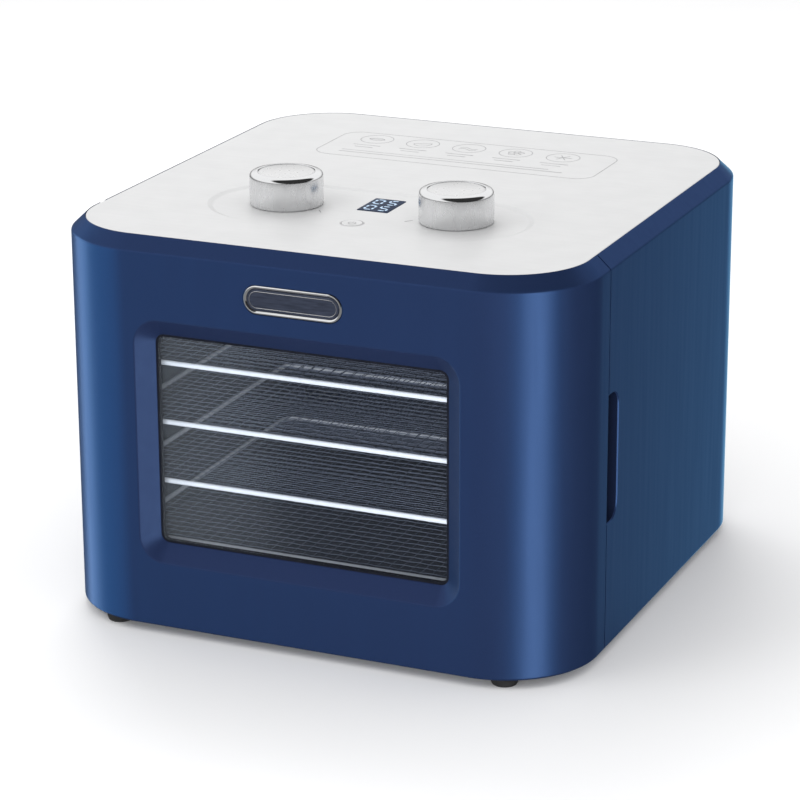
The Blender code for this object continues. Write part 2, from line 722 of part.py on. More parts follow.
def make_trays():
    centre_y = (TRAY_FRONT + TRAY_BACK) / 2
    depth = TRAY_BACK - TRAY_FRONT
    path = rounded_rect(2 * TRAY_HALF, depth, TRAY_CORNER, (0, centre_y), steps=4)
    inset = TRAY_ROD + GAP
    mesh_outline = rounded_rect(
        2 * (TRAY_HALF - inset), depth - 2 * inset, TRAY_CORNER - inset, (0, centre_y), steps=4
    )
    for index in range(TRAY_COUNT):
        level = tray_level(index)
        points = [(x, y, level) for x, y in path]
        tube(f"tray_frame_{index + 1}", points, TRAY_ROD, STEEL, cyclic=True)
        plate(
            f"tray_mesh_{index + 1}",
            [mesh_outline],
            level - MESH_THICKNESS / 2,
            level + MESH_THICKNESS / 2,
            STEEL,
        )


# ---------------------------------------------------------------- door pieces
def make_door_parts():
    plate(
        "door_window",
        [
            rounded_rect(
                WINDOW_WIDTH + 2 * GLASS_MARGIN,
                WINDOW_HEIGHT + 2 * GLASS_MARGIN,
                WINDOW_RADIUS,
                (0, WINDOW_CENTRE),
                steps=3,
            )
        ],
        GLASS_FRONT,
        GLASS_BACK,
        GLASS,
        axis="Y",
    )
    panel_front = INNER_PANEL_BACK - INNER_PANEL_THICKNESS
    corner_reach = CORNER_RADIUS - SHELL_WALL - 2 * GAP
    corner_back = (FRONT_Y + CORNER_RADIUS) - panel_front
    panel_half = HALF_W - CORNER_RADIUS + math.sqrt(corner_reach**2 - corner_back**2)
    panel_low = FRAME_LOW + INNER_PANEL_LIFT
    panel_high = FRAME_HIGH - INNER_PANEL_DROP
    panel_size = (2 * panel_half, panel_high - panel_low)
    panel_centre = (0, (panel_low + panel_high) / 2)
    middle = (0, WINDOW_CENTRE)
    hole = rectangle(WINDOW_WIDTH + 2 * PANEL_REVEAL, WINDOW_HEIGHT + 2 * PANEL_REVEAL, middle)
    panel = plate(
        "door_inner_panel",
        [rounded_rect(*panel_size, INNER_PANEL_RADIUS, panel_centre, steps=3), hole],
        panel_front,
        INNER_PANEL_BACK,
        DARK,
        axis="Y",
    )
    clamp_hole = rectangle(WINDOW_WIDTH + 2 * CLAMP_REVEAL, WINDOW_HEIGHT + 2 * CLAMP_REVEAL, middle)
    clamp_edge = rectangle(WINDOW_WIDTH + 4 * GLASS_MARGIN, WINDOW_HEIGHT + 4 * GLASS_MARGIN, middle)
    clamp_back = panel_front + 0.0005
    clamp = plate("glass_clamp", [clamp_edge, clamp_hole], GLASS_BACK + GAP, clamp_back, axis="Y")
    inner_wall = BEZEL_RIM + SPACER_CLEARANCE
    outer_wall = inner_wall + SPACER_WALL
    spacer_hole = rectangle(BEZEL_WIDTH + 2 * inner_wall, BEZEL_HEIGHT + 2 * inner_wall, middle)
    spacer_edge = rectangle(BEZEL_WIDTH + 2 * outer_wall, BEZEL_HEIGHT + 2 * outer_wall, middle)
    spacer = plate(
        "panel_spacer",
        [spacer_edge, spacer_hole],
        FRONT_Y + SHELL_WALL + GAP,
        panel_front + 0.0005,
        axis="Y",
    )
    join(panel, clamp, spacer)
    seal_low = CHAMBER_FLOOR - SEAL_INSET
    seal_high = CHAMBER_CEILING + SEAL_INSET
    seal_path = rounded_rect(
        2 * SEAL_HALF, seal_high - seal_low, 0.006, (0, (seal_low + seal_high) / 2), steps=3
    )
    seal_y = FRAME_FRONT - GAP - SEAL_RADIUS
    seal_points = [(x, seal_y, z) for x, z in seal_path]
    tube("door_seal", seal_points, SEAL_RADIUS, RUBBER, cyclic=True, resolution=1)
    make_badge()
    make_magnet()


def make_badge():
    centre = (0, BADGE_CENTRE)
    inner_w = BADGE_WIDTH - 2 * BADGE_RIM
    inner_h = BADGE_HEIGHT - 2 * BADGE_RIM
    edge = rounded_rect(BADGE_WIDTH, BADGE_HEIGHT, BADGE_HEIGHT / 2 - 0.0001, centre, steps=6)
    hole = rounded_rect(inner_w, inner_h, inner_h / 2 - 0.0001, centre, steps=6)
    back = FRONT_Y + BADGE_DEPTH - GAP
    plate("badge_rim", [edge, hole], FRONT_Y, back, CHROME, axis="Y")
    face = rounded_rect(inner_w - 2 * GAP, inner_h - 2 * GAP, inner_h / 2 - 2 * GAP, centre, steps=6)
    plate("badge_plate", [face], FRONT_Y + GAP, back, DARK, axis="Y")


def make_magnet():
    outer = HALF_W - SHELL_WALL - GAP
    inner = outer - MAGNET_WIDTH
    catch_front = FLANGE_FRONT - GAP - CATCH_THICKNESS
    magnet_back = catch_front - GAP
    high = MAGNET_LOW + MAGNET_HEIGHT
    magnet_front = magnet_back - MAGNET_THICKNESS
    block("door_magnet", (inner, magnet_front, MAGNET_LOW), (outer, magnet_back, high), STEEL)
    block("catch_plate", (inner, catch_front, MAGNET_LOW), (outer, FLANGE_FRONT - GAP, high), STEEL)


def make_hinges():
    for level, low in BRACKET_ZONES.items():
        high = low + BRACKET_HEIGHT
        bracket = drum("hinge_bracket_" + level, (PIVOT_X, PIVOT_Y, 0), BARREL_RADIUS, low, high, mat=STEEL)
        foot_y = FLANGE_FRONT - GAP
        arm = block(
            "hinge_arm_" + level,
            (PIVOT_X - HINGE_ARM / 4, PIVOT_Y, low + 0.0002),
            (PIVOT_X + HINGE_ARM * 3 / 4, foot_y - 0.001, high - 0.0002),
        )
        foot = block(
            "hinge_foot_" + level,
            (PIVOT_X - HINGE_ARM / 4, foot_y - HINGE_FOOT_THICKNESS, low + 0.0004),
            (PIVOT_X - HINGE_ARM / 4 + HINGE_FOOT_WIDTH, foot_y, high - 0.0004),
        )
        axis_foot = (PIVOT_X, PIVOT_Y, 0)
        bore = drum("bracket_bore_" + level, axis_foot, PIN_RADIUS + GAP, low - 1, high + 1, sides=12)
        join(bracket, arm, foot)
        cut(bracket, bore)
        drum(
            "hinge_pin_" + level,
            (PIVOT_X, PIVOT_Y, 0),
            PIN_RADIUS,
            low - PIN_REACH,
            high + PIN_REACH,
            mat=STEEL,
            sides=12,
        )


# ---------------------------------------------------------------- controls
def make_knobs():
    bore = SHAFT_RADIUS + GAP
    knob_profile = [
        (0, KNOB_TOP - CAP_DEPTH),
        (KNOB_RADIUS - KNOB_BEVEL_WIDTH, KNOB_TOP - CAP_DEPTH),
        (KNOB_RADIUS - KNOB_BEVEL_WIDTH, KNOB_TOP),
        (KNOB_RADIUS - KNOB_BEVEL_WIDTH + 0.0006, KNOB_TOP),
        (KNOB_RADIUS - 0.0004, KNOB_TOP - KNOB_BEVEL_HEIGHT + 0.0004),
        (KNOB_RADIUS, KNOB_TOP - KNOB_BEVEL_HEIGHT),
        (KNOB_RADIUS, KNOB_LOW),
        (KNOB_RADIUS - KNOB_WALL, KNOB_LOW),
        (KNOB_RADIUS - KNOB_WALL, KNOB_TOP - KNOB_BEVEL_HEIGHT - KNOB_WALL),
        (KNOB_HUB, KNOB_TOP - KNOB_BEVEL_HEIGHT - KNOB_WALL),
        (KNOB_HUB, KNOB_LOW + 0.001),
        (bore, KNOB_LOW + 0.001),
        (bore, KNOB_TOP - KNOB_BEVEL_HEIGHT),
        (0, KNOB_TOP - KNOB_BEVEL_HEIGHT),
    ]
    cap_radius = KNOB_RADIUS - KNOB_BEVEL_WIDTH - GAP
    cap_low = KNOB_TOP - CAP_DEPTH + GAP
    encoder_low = BOARD_TOP + GAP
    bush_top = encoder_low + ENCODER_HEIGHT + BUSH_HEIGHT
    for name, side in (("timer", -1), ("temperature", 1)):
        x = side * KNOB_SPACING / 2
        centre = (x, KNOB_CENTRE_Y, 0)
        turned(name + "_knob", knob_profile, centre, CHROME)
        drum(name + "_knob_cap", centre, cap_radius, cap_low, KNOB_TOP - 0.0001, mat=SATIN, sides=32)
        shaft_low = encoder_low + 0.002
        shaft_high = KNOB_TOP - KNOB_BEVEL_HEIGHT - GAP
        drum(name + "_shaft", centre, SHAFT_RADIUS, shaft_low, shaft_high, mat=STEEL, sides=16)
        half = ENCODER_SIZE / 2
        encoder = block(
            name + "_encoder",
            (x - half, KNOB_CENTRE_Y - half, encoder_low),
            (x + half, KNOB_CENTRE_Y + half, encoder_low + ENCODER_HEIGHT),
            STEEL,
        )
        bush = drum(name + "_bush", centre, BUSH_RADIUS, encoder_low + 0.001, bush_top, sides=16)
        hole = drum(name + "_bush_bore", centre, bore, shaft_low - GAP, bush_top + 0.01, sides=16)
        join(encoder, bush)
        cut(encoder, hole)


def make_display_and_button():
    lens_high = RECESS_FLOOR + GAP
    lens_low = lens_high - LENS_THICKNESS
    half_w = DISPLAY_WIDTH / 2
    y0 = DISPLAY_CENTRE_Y - DISPLAY_DEPTH / 2
    y1 = DISPLAY_CENTRE_Y + DISPLAY_DEPTH / 2
    block("display_lens", (-half_w, y0, lens_low), (half_w, y1, lens_high), LENS)
    block(
        "display_module",
        (-half_w - DISPLAY_MARGIN, y0 - DISPLAY_MARGIN, BOARD_TOP + GAP),
        (half_w + DISPLAY_MARGIN, y1 + DISPLAY_MARGIN, lens_low - GAP),
        DARK,
    )
    cap_high = RECESS_FLOOR + GAP
    cap_low = cap_high - BUTTON_HEIGHT
    switch_high = BOARD_TOP + SWITCH_HEIGHT
    stem_low = switch_high + BUTTON_TRAVEL + 2 * GAP
    profile = [
        (0, cap_high),
        (BUTTON_RADIUS - 0.0004, cap_high),
        (BUTTON_RADIUS, cap_high - 0.0004),
        (BUTTON_RADIUS, cap_low),
        (BUTTON_STEM, cap_low),
        (BUTTON_STEM, stem_low),
        (0, stem_low),
    ]
    turned("power_button", profile, (0, BUTTON_CENTRE_Y, 0), WHITE, steps=24)
    block(
        "button_switch",
        (-SWITCH_WIDTH / 2, BUTTON_CENTRE_Y - SWITCH_WIDTH / 2, BOARD_TOP + GAP),
        (SWITCH_WIDTH / 2, BUTTON_CENTRE_Y + SWITCH_WIDTH / 2, switch_high),
        DARK,
    )


def make_boards():
    front = BUTTON_CENTRE_Y - BOARD_FRONT_MARGIN
    back = DISPLAY_CENTRE_Y + DISPLAY_DEPTH / 2 + BOARD_BACK_MARGIN
    block(
        "control_board",
        (-BOARD_WIDTH / 2, front, BOARD_TOP - BOARD_THICKNESS),
        (BOARD_WIDTH / 2, back, BOARD_TOP),
        BOARD,
    )
    width, depth = POWER_BOARD_SIZE
    top = POWER_BOARD_Z + BOARD_THICKNESS
    board = block("power_board", (-width / 2, 0, POWER_BOARD_Z), (width / 2, depth, top), BOARD)
    parts = (
        ("transformer", TRANSFORMER_CORNER, TRANSFORMER_SIZE),
        ("relay", RELAY_CORNER, RELAY_SIZE),
        ("terminal", TERMINAL_CORNER, TERMINAL_SIZE),
    )
    for name, (x, y), (length, breadth, height) in parts:
        join(board, block(name, (x, y, top - PART_SINK), (x + length, y + breadth, top + height)))


# ---------------------------------------------------------------- fan, heater and rear
def make_baffle():
    half = CHAMBER_WIDTH / 2 + CHAMBER_WALL
    low = CHAMBER_FLOOR - GAP - CHAMBER_WALL
    high = CHAMBER_CEILING + GAP + CHAMBER_WALL
    outlines = [rectangle(2 * half, high - low, (0, (low + high) / 2))]
    reach = FAN_RADIUS - INLET_MARGIN
    for row in range(-INLET_SIDE_ROWS, INLET_SIDE_ROWS + 1):
        offset = row * INLET_PITCH
        chord = 2 * math.sqrt(reach**2 - offset**2)
        outlines.append(rectangle(chord, INLET_SLOT, (0, FAN_CENTRE + offset)))
    for side in (-1, 1):
        for index in range(TRAY_COUNT):
            level = tray_level(index) + TRAY_PITCH / 2 - 0.003
            outlines.append(rectangle(*OUTLET_SIZE, (side * OUTLET_X, level)))
    outlines.append(circle(SENSOR_RADIUS + GAP, SENSOR_PLACE, steps=10))
    plate("fan_baffle", outlines, BAFFLE_FRONT, BAFFLE_BACK, ENAMEL, axis="Y")
    sensor_front = BAFFLE_FRONT - SENSOR_FRONT
    sensor_back = BAFFLE_BACK + SENSOR_BACK
    sensor_centre = (SENSOR_PLACE[0], 0, SENSOR_PLACE[1])
    drum("temp_sensor", sensor_centre, SENSOR_RADIUS, sensor_front, sensor_back, "Y", BRASS, 10)
    cutout_centre = (CUTOUT_PLACE[0], 0, CUTOUT_PLACE[1])
    cutout_back = BAFFLE_BACK + CUTOUT_THICKNESS
    drum("thermal_cutout", cutout_centre, CUTOUT_RADIUS, BAFFLE_BACK + GAP, cutout_back, "Y", STEEL, 20)


def make_fan():
    back = FAN_FRONT + FAN_DEPTH
    centre = (0, 0, FAN_CENTRE)
    fan = drum("fan_impeller", centre, FAN_HUB, FAN_FRONT, back, "Y", STEEL, 24)
    middle = (FAN_FRONT + back) / 2
    for index in range(FAN_BLADES):
        angle = 2 * math.pi * index / FAN_BLADES
        turn = (
            Matrix.Translation((0, middle, FAN_CENTRE))
            @ Matrix.Rotation(angle, 4, "Y")
            @ Matrix.Rotation(BLADE_ANGLE, 4, "X")
        )
        half = FAN_DEPTH * 0.45
        blade = block(
            f"blade_{index + 1}",
            (FAN_HUB - 0.003, -half, -BLADE_THICKNESS / 2),
            (FAN_RADIUS, half, BLADE_THICKNESS / 2),
            turn=turn,
        )
        join(fan, blade)
    bore = MOTOR_SHAFT_RADIUS + GAP
    cut(fan, drum("fan_bore", centre, bore, FAN_FRONT - 0.01, back + 0.01, "Y", sides=16))
    shaft_end = MOTOR_PLATE_Y + MOTOR_PLATE + GAP + MOTOR_LENGTH - 0.003
    drum("motor_shaft", centre, MOTOR_SHAFT_RADIUS, FAN_FRONT + 0.001, shaft_end, "Y", STEEL, 16)
    motor_front = MOTOR_PLATE_Y + MOTOR_PLATE + GAP
    motor_back = motor_front + MOTOR_LENGTH
    motor = drum("fan_motor", centre, MOTOR_RADIUS, motor_front, motor_back, "Y", STEEL, 32)
    cut(motor, drum("motor_bore", centre, bore, motor_front - 0.01, shaft_end + GAP, "Y", sides=16))


def rear_screw_places():
    x = REAR_COVER_SIZE[0] / 2 - 0.010
    z = FAN_CENTRE + REAR_COVER_SIZE[1] / 2 - 0.010
    return (("left", -x, z), ("right", x, z))


def make_motor_bracket():
    width, height = MOTOR_PLATE_SIZE
    outlines = [rounded_rect(width, height, 0.008, (0, FAN_CENTRE), steps=3)]
    outlines.append(circle(MOTOR_SHAFT_RADIUS + 4 * GAP, (0, FAN_CENTRE)))
    for sx in (-1, 1):
        for sz in (-1, 1):
            window_x = sx * BRACKET_WINDOW_PLACE[0]
            window_z = FAN_CENTRE + sz * BRACKET_WINDOW_PLACE[1]
            outlines.append(circle(BRACKET_WINDOW_RADIUS, (window_x, window_z), steps=20))
    bracket = plate("motor_bracket", outlines, MOTOR_PLATE_Y, MOTOR_PLATE_Y + MOTOR_PLATE, STEEL, axis="Y")
    for hand, x, z in rear_screw_places():
        arm_z = FAN_CENTRE + height / 2
        side = math.copysign(1, x)
        arm = block(
            "bracket_arm_" + hand,
            (min(x, x - side * 0.025) - 0.005, MOTOR_PLATE_Y + 0.0002, arm_z - 0.020),
            (max(x, x - side * 0.025) + 0.005, MOTOR_PLATE_Y + MOTOR_PLATE - 0.0002, z + 0.005),
        )
        post = drum(
            "bracket_post_" + hand,
            (x, 0, z),
            0.004,
            MOTOR_PLATE_Y + 0.001,
            REAR_COVER_FRONT - GAP,
            "Y",
            sides=16,
        )
        hole = drum(
            "bracket_hole_" + hand,
            (x, 0, z),
            SCREW_RADIUS + GAP,
            REAR_COVER_FRONT - SCREW_LENGTH - 0.002,
            REAR_COVER_FRONT + 0.01,
            "Y",
            sides=12,
        )
        join(bracket, arm, post)
        cut(bracket, hole)


def make_heater():
    count = 40
    sweep_angle = math.radians(330)
    points = []
    for i in range(count + 1):
        angle = math.radians(-75) + sweep_angle * i / count
        points.append(
            (HEATER_RADIUS * math.cos(angle), HEATER_Y, FAN_CENTRE + HEATER_RADIUS * math.sin(angle))
        )
    tube("heater_element", points, HEATER_TUBE, STEEL, resolution=1)
    high = FAN_CENTRE - HEATER_RADIUS - HEATER_TUBE - GAP
    half = HEATER_BRACKET_WIDTH / 2
    low = high - HEATER_BRACKET_THICKNESS
    block("heater_bracket", (-half, HEATER_Y - 0.006, low), (half, MOTOR_PLATE_Y - GAP, high), STEEL)


def make_rear():
    width, height = REAR_COVER_SIZE
    outlines = [rounded_rect(width - 2 * GAP, height - 2 * GAP, REAR_COVER_RADIUS, (0, FAN_CENTRE))]
    for side in (-1, 1):
        for row in range(LOUVRE_ROWS):
            z = FAN_CENTRE + (row - (LOUVRE_ROWS - 1) / 2) * LOUVRE_PITCH
            outlines.append(rectangle(*LOUVRE_SIZE, (side * (LOUVRE_SIZE[0] / 2 + 0.004), z)))
    for hand, x, z in rear_screw_places():
        outlines.append(circle(SCREW_RADIUS + GAP, (x, z), steps=12))
    plate("rear_cover", outlines, REAR_COVER_FRONT, REAR_COVER_BACK, DARK, axis="Y")
    head_low = REAR_COVER_BACK + GAP
    profile = [
        (0, head_low + SCREW_HEAD_HEIGHT),
        (SCREW_HEAD_RADIUS - 0.0006, head_low + SCREW_HEAD_HEIGHT),
        (SCREW_HEAD_RADIUS, head_low + SCREW_HEAD_HEIGHT - 0.0006),
        (SCREW_HEAD_RADIUS, head_low),
        (SCREW_RADIUS, head_low),
        (SCREW_RADIUS, REAR_COVER_FRONT - SCREW_LENGTH),
        (0, REAR_COVER_FRONT - SCREW_LENGTH),
    ]
    for hand, x, z in rear_screw_places():
        turned("rear_screw_" + hand, profile, (x, 0, z), STEEL, axis="Y", steps=16)
    barrel = GLAND_BORE + GLAND_WALL
    wall_inner = HALF_D - SHELL_WALL - GAP
    gland = [
        (GLAND_BORE, HALF_D),
        (barrel, HALF_D),
        (barrel, wall_inner),
        (barrel + GLAND_FLANGE, wall_inner),
        (barrel + GLAND_FLANGE, wall_inner - 0.003),
        (GLAND_BORE, wall_inner - 0.003),
    ]
    turned("cord_gland", gland, (GLAND_X, 0, GLAND_Z), RUBBER, axis="Y", steps=24, closed=True)


# ---------------------------------------------------------------- moving groups
def carry(name, place, children):
    """Parent pieces to an empty on their joint's axis, keeping their places."""
    empty = bpy.data.objects.new(name, None)
    empty.location = place
    PART.objects.link(empty)
    inverse = Matrix.Translation(place).inverted()
    for child in children:
        obj = bpy.data.objects[child]
        obj.parent = empty
        obj.matrix_parent_inverse = inverse


def make_groups():
    door = ["door_shell", "door_window", "door_inner_panel", "door_seal", "door_magnet"]
    carry("door_axis", (PIVOT_X, PIVOT_Y, 0), door + ["badge_rim", "badge_plate"])
    for name, side in (("timer", -1), ("temperature", 1)):
        pieces = [name + suffix for suffix in ("_knob", "_knob_cap", "_shaft")]
        carry(name + "_axis", (side * KNOB_SPACING / 2, KNOB_CENTRE_Y, KNOB_LOW), pieces)
    carry("fan_axis", (0, FAN_FRONT, FAN_CENTRE), ["fan_impeller", "motor_shaft"])
    for index in range(TRAY_COUNT):
        level = Vector((0, TRAY_FRONT, tray_level(index)))
        carry(f"tray_axis_{index + 1}", level, [f"tray_frame_{index + 1}", f"tray_mesh_{index + 1}"])


def build():
    make_body_shell()
    make_door_shell()
    make_top_panel()
    make_base()
    make_front_frame()
    make_chamber()
    make_trays()
    make_door_parts()
    make_hinges()
    make_knobs()
    make_display_and_button()
    make_boards()
    make_baffle()
    make_fan()
    make_motor_bracket()
    make_heater()
    make_rear()
    make_groups()


build()
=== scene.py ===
"""Looks of the countertop food dehydrator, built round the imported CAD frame.

Everything is in metres in the frame's own axes: +Z up, the door on -Y, its hinge on -X.
"""
import json
import math

import bmesh
import bpy
from mathutils import Matrix, Vector


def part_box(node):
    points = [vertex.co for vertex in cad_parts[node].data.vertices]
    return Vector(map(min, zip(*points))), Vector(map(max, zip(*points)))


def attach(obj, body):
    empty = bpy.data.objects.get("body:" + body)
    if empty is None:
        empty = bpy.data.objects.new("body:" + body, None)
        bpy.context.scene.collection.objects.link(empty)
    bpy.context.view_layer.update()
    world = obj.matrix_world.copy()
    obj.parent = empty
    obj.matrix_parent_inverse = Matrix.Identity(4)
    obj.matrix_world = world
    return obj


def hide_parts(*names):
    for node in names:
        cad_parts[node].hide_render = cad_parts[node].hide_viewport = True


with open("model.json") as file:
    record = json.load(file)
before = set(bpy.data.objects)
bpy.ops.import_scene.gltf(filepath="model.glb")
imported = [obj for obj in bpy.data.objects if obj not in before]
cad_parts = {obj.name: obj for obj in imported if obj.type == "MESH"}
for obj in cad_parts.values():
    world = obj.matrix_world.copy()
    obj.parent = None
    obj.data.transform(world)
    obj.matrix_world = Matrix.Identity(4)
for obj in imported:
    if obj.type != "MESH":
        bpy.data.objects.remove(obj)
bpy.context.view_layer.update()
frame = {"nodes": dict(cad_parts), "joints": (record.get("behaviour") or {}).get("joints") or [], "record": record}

# ---- places read from the frame
DOOR_LOW, DOOR_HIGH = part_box("door_shell")
BODY_LOW, BODY_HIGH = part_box("body_shell")
PANEL_LOW, PANEL_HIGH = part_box("top_panel")
GLASS_LOW, GLASS_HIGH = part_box("door_window")
LENS_LOW, LENS_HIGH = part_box("display_lens")
BUTTON_LOW, BUTTON_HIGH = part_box("power_button")
BADGE_LOW, BADGE_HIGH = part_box("badge_rim")
COVER_LOW, COVER_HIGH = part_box("rear_cover")
HINGE_BRACKETS = [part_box("hinge_bracket_bottom"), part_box("hinge_bracket_top")]
PIVOT = Vector(next(joint["pos_m"] for joint in frame["joints"] if joint["name"] == "door_hinge"))

HALF_W = BODY_HIGH.x
FRONT_Y = DOOR_LOW.y
BACK_Y = BODY_HIGH.y
LOW_Z = BODY_LOW.z
TOP_Z = BODY_HIGH.z
LENS_Y = (LENS_LOW.y + LENS_HIGH.y) / 2
BUTTON_Y = (BUTTON_LOW.y + BUTTON_HIGH.y) / 2
BODY_EDGE_Y = BODY_LOW.y
SEAM_GAP = 0.0010
DOOR_EDGE_Y = BODY_EDGE_Y - SEAM_GAP

# ---- sizes of the visible forms
CORNER_RADIUS = 0.054
CORNER_STEPS = 28
SHELL_WALL = 0.0024
CHAMFER_WIDTH = 0.008
CHAMFER_HEIGHT = 0.0075
BOTTOM_LIP = 0.008
EDGE_RADIUS = 0.0016
SHOULDER_RADIUS = 0.0020
RIM_RADIUS = 0.0009
BEZEL_WIDTH = 0.192
BEZEL_HEIGHT = 0.1405
BEZEL_RADIUS = 0.015
BEZEL_DEPTH = 0.0077
BEZEL_SOFTNESS = 0.0016
WINDOW_WIDTH = 0.1732
WINDOW_HEIGHT = 0.121
WINDOW_RADIUS = 0.005
WINDOW_CENTRE = 0.1135
WINDOW_BORDER = 0.0013
BRACKET_GAP = 0.0005
NOTCH_DEPTH = 0.0051
BADGE_PLAY = 0.0005
BADGE_POCKET = 0.0011
BARREL_RADIUS = 0.0043
BARREL_SOFTNESS = 0.0004
GRIP_HEIGHT = 0.074
GRIP_DEPTH = 0.0160
GRIP_RECESS = 0.0095
GRIP_CENTRE = 0.115
RECESS_RADIUS = 0.0435
RECESS_CENTRE_Y = -0.060
RECESS_DEPTH = 0.0012
KNOB_ROUND = 0.0026
KNOB_SPACING = 0.103
KNOB_LAND = 0.0045          # bright ring between the inset disc and the rounded edge
KNOB_WALL = 0.002
PRINT_HEIGHT = 0.00004
PRINT_LINE = 0.00042
PRINT_THICKNESS = 0.00002
DIGIT_WIDTH = 0.0048
DIGIT_HEIGHT = 0.0085
DIGIT_BAR = 0.0013
DIGIT_PITCH = 0.0083
DIGIT_ROW = 0.0063          # each row of digits from the display's middle
ICON_PITCH = 0.0300
ICON_SHIFT = 0.004
ICON_RING = 0.0100
ICON_Y = 0.0950
WEAVE_PITCH = 0.0064
WEAVE_RADIUS = 0.00025

# ---- camera and world
CAMERA_PLACE = Vector((0.6858, -1.5814, 0.6744))
CAMERA_AIM = Vector((-0.00821, 0.0, 0.09917))
CAMERA_LENS = 140.07
CAMERA_ROLL = -0.26         # degrees
HORIZON = (-0.05, 0.30)     # the world brightens between these heights of the ray's direction
WORLD_LEVELS = (0.22, 0.96)
PATCH_DIRECTION = (0.55, -0.34, 0.80)
PATCH_EDGE = (0.50, 0.66)   # cosines of the dark patch's outer and inner edge
PATCH_DEPTH = 0.97


# ---- outlines
def rounded_rect(width, height, radius, centre=(0.0, 0.0), steps=8):
    """Anticlockwise points of a rectangle with round corners."""
    points = []
    for sx, sy, start in ((1, 1, 0), (-1, 1, 90), (-1, -1, 180), (1, -1, 270)):
        cx = centre[0] + sx * (width / 2 - radius)
        cy = centre[1] + sy * (height / 2 - radius)
        for i in range(steps + 1):
            angle = math.radians(start + 90 * i / steps)
            points.append((cx + radius * math.cos(angle), cy + radius * math.sin(angle)))
    return points


def circle(radius, centre=(0.0, 0.0), steps=48):
    angles = [2 * math.pi * i / steps for i in range(steps)]
    return [(centre[0] + radius * math.cos(a), centre[1] + radius * math.sin(a)) for a in angles]


def arc(centre, radius, start, end, steps):
    """Points on an arc; angles in degrees."""
    points = []
    for i in range(steps + 1):
        angle = math.radians(start + (end - start) * i / steps)
        points.append((centre[0] + radius * math.cos(angle), centre[1] + radius * math.sin(angle)))
    return points


def fillet(before, corner, after, radius, steps):
    """The corner of a polyline replaced by a tangent arc."""
    a = (Vector(before) - Vector(corner)).normalized()
    b = (Vector(after) - Vector(corner)).normalized()
    half = a.angle(b) / 2
    reach = radius / math.tan(half)
    centre = Vector(corner) + (a + b).normalized() * (radius / math.sin(half))
    start = Vector(corner) + a * reach - centre
    end = Vector(corner) + b * reach - centre
    points = []
    for i in range(steps + 1):
        blend = start.lerp(end, i / steps).normalized() * radius
        points.append(tuple(centre + blend))
    return points


# ---- mesh helpers
def loop_verts(bm, points):
    return [bm.verts.new(point) for point in points]


def flat_loop(bm, outline, z):
    """An outline's (x, y) points at one height."""
    return [bm.verts.new((x, y, z)) for x, y in outline]


def upright_loop(bm, outline, y):
    """An outline's (x, z) points at one depth."""
    return [bm.verts.new((x, y, z)) for x, z in outline]


def bridge(bm, first, second, closed=True, material=0):
    """Quads between two equal loops."""
    count = len(first)
    for i in range(count if closed else count - 1):
        j = (i + 1) % count
        face = bm.faces.new((first[i], first[j], second[j], second[i]))
        face.material_index = material


def bridge_all(bm, rings, material=0):
    """Quads from each ring to the next."""
    for first, second in zip(rings, rings[1:]):
        bridge(bm, first, second, material=material)


def fill_flat(bm, loops, normal):
    """One flat region: the first loop is its edge, the others are holes."""
    edges = []
    for loop in loops:
        for pair in zip(loop, loop[1:] + loop[:1]):
            edges.append(bm.edges.get(pair) or bm.edges.new(pair))
    bmesh.ops.triangle_fill(bm, use_beauty=True, use_dissolve=False, edges=edges, normal=normal)


def new_object(name, bm, materials, angle=32.0):
    """A smooth-shaded mesh object with crisp edges above the angle."""
    bmesh.ops.recalc_face_normals(bm, faces=bm.faces)
    data = bpy.data.meshes.new(name)
    bm.to_mesh(data)
    bm.free()
    for mat in materials:
        data.materials.append(mat)
    data.shade_smooth()
    data.set_sharp_from_angle(angle=math.radians(angle))
    obj = bpy.data.objects.new(name, data)
    bpy.context.scene.collection.objects.link(obj)
    return obj


def weighted(obj):
    modifier = obj.modifiers.new("flat_shading", "WEIGHTED_NORMAL")
    modifier.keep_sharp = True
    modifier.weight = 90
    return obj


def piece(obj, body, slot, *nodes):
    """Ride on a body and stand for CAD nodes; the slot is not used."""
    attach(obj, body)
    if nodes:
        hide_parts(*nodes)
    return obj


def turned(name, profile, centre, materials, steps=96, axis="Z", bands=(), angle=32.0):
    """A turned piece from (radius, height) points; bands gives each stretch its material."""
    bm = bmesh.new()
    rings = []
    for radius, height in profile:
        if radius < 1e-7:
            rings.append([bm.verts.new((0, 0, height))])
        else:
            rings.append(flat_loop(bm, circle(radius, steps=steps), height))
    for k, (first, second) in enumerate(zip(rings, rings[1:])):
        material = bands[k] if k < len(bands) else 0
        if 1 in (len(first), len(second)):
            point, ring = (first[0], second) if len(first) == 1 else (second[0], first)
            for pair in zip(ring, ring[1:] + ring[:1]):
                bm.faces.new((point, *pair)).material_index = material
        else:
            bridge(bm, first, second, material=material)
    turn = Matrix.Rotation(-math.pi / 2, 4, "X") if axis == "Y" else Matrix.Identity(4)
    bmesh.ops.transform(bm, matrix=Matrix.Translation(centre) @ turn, verts=bm.verts)
    return new_object(name, bm, materials, angle=angle)


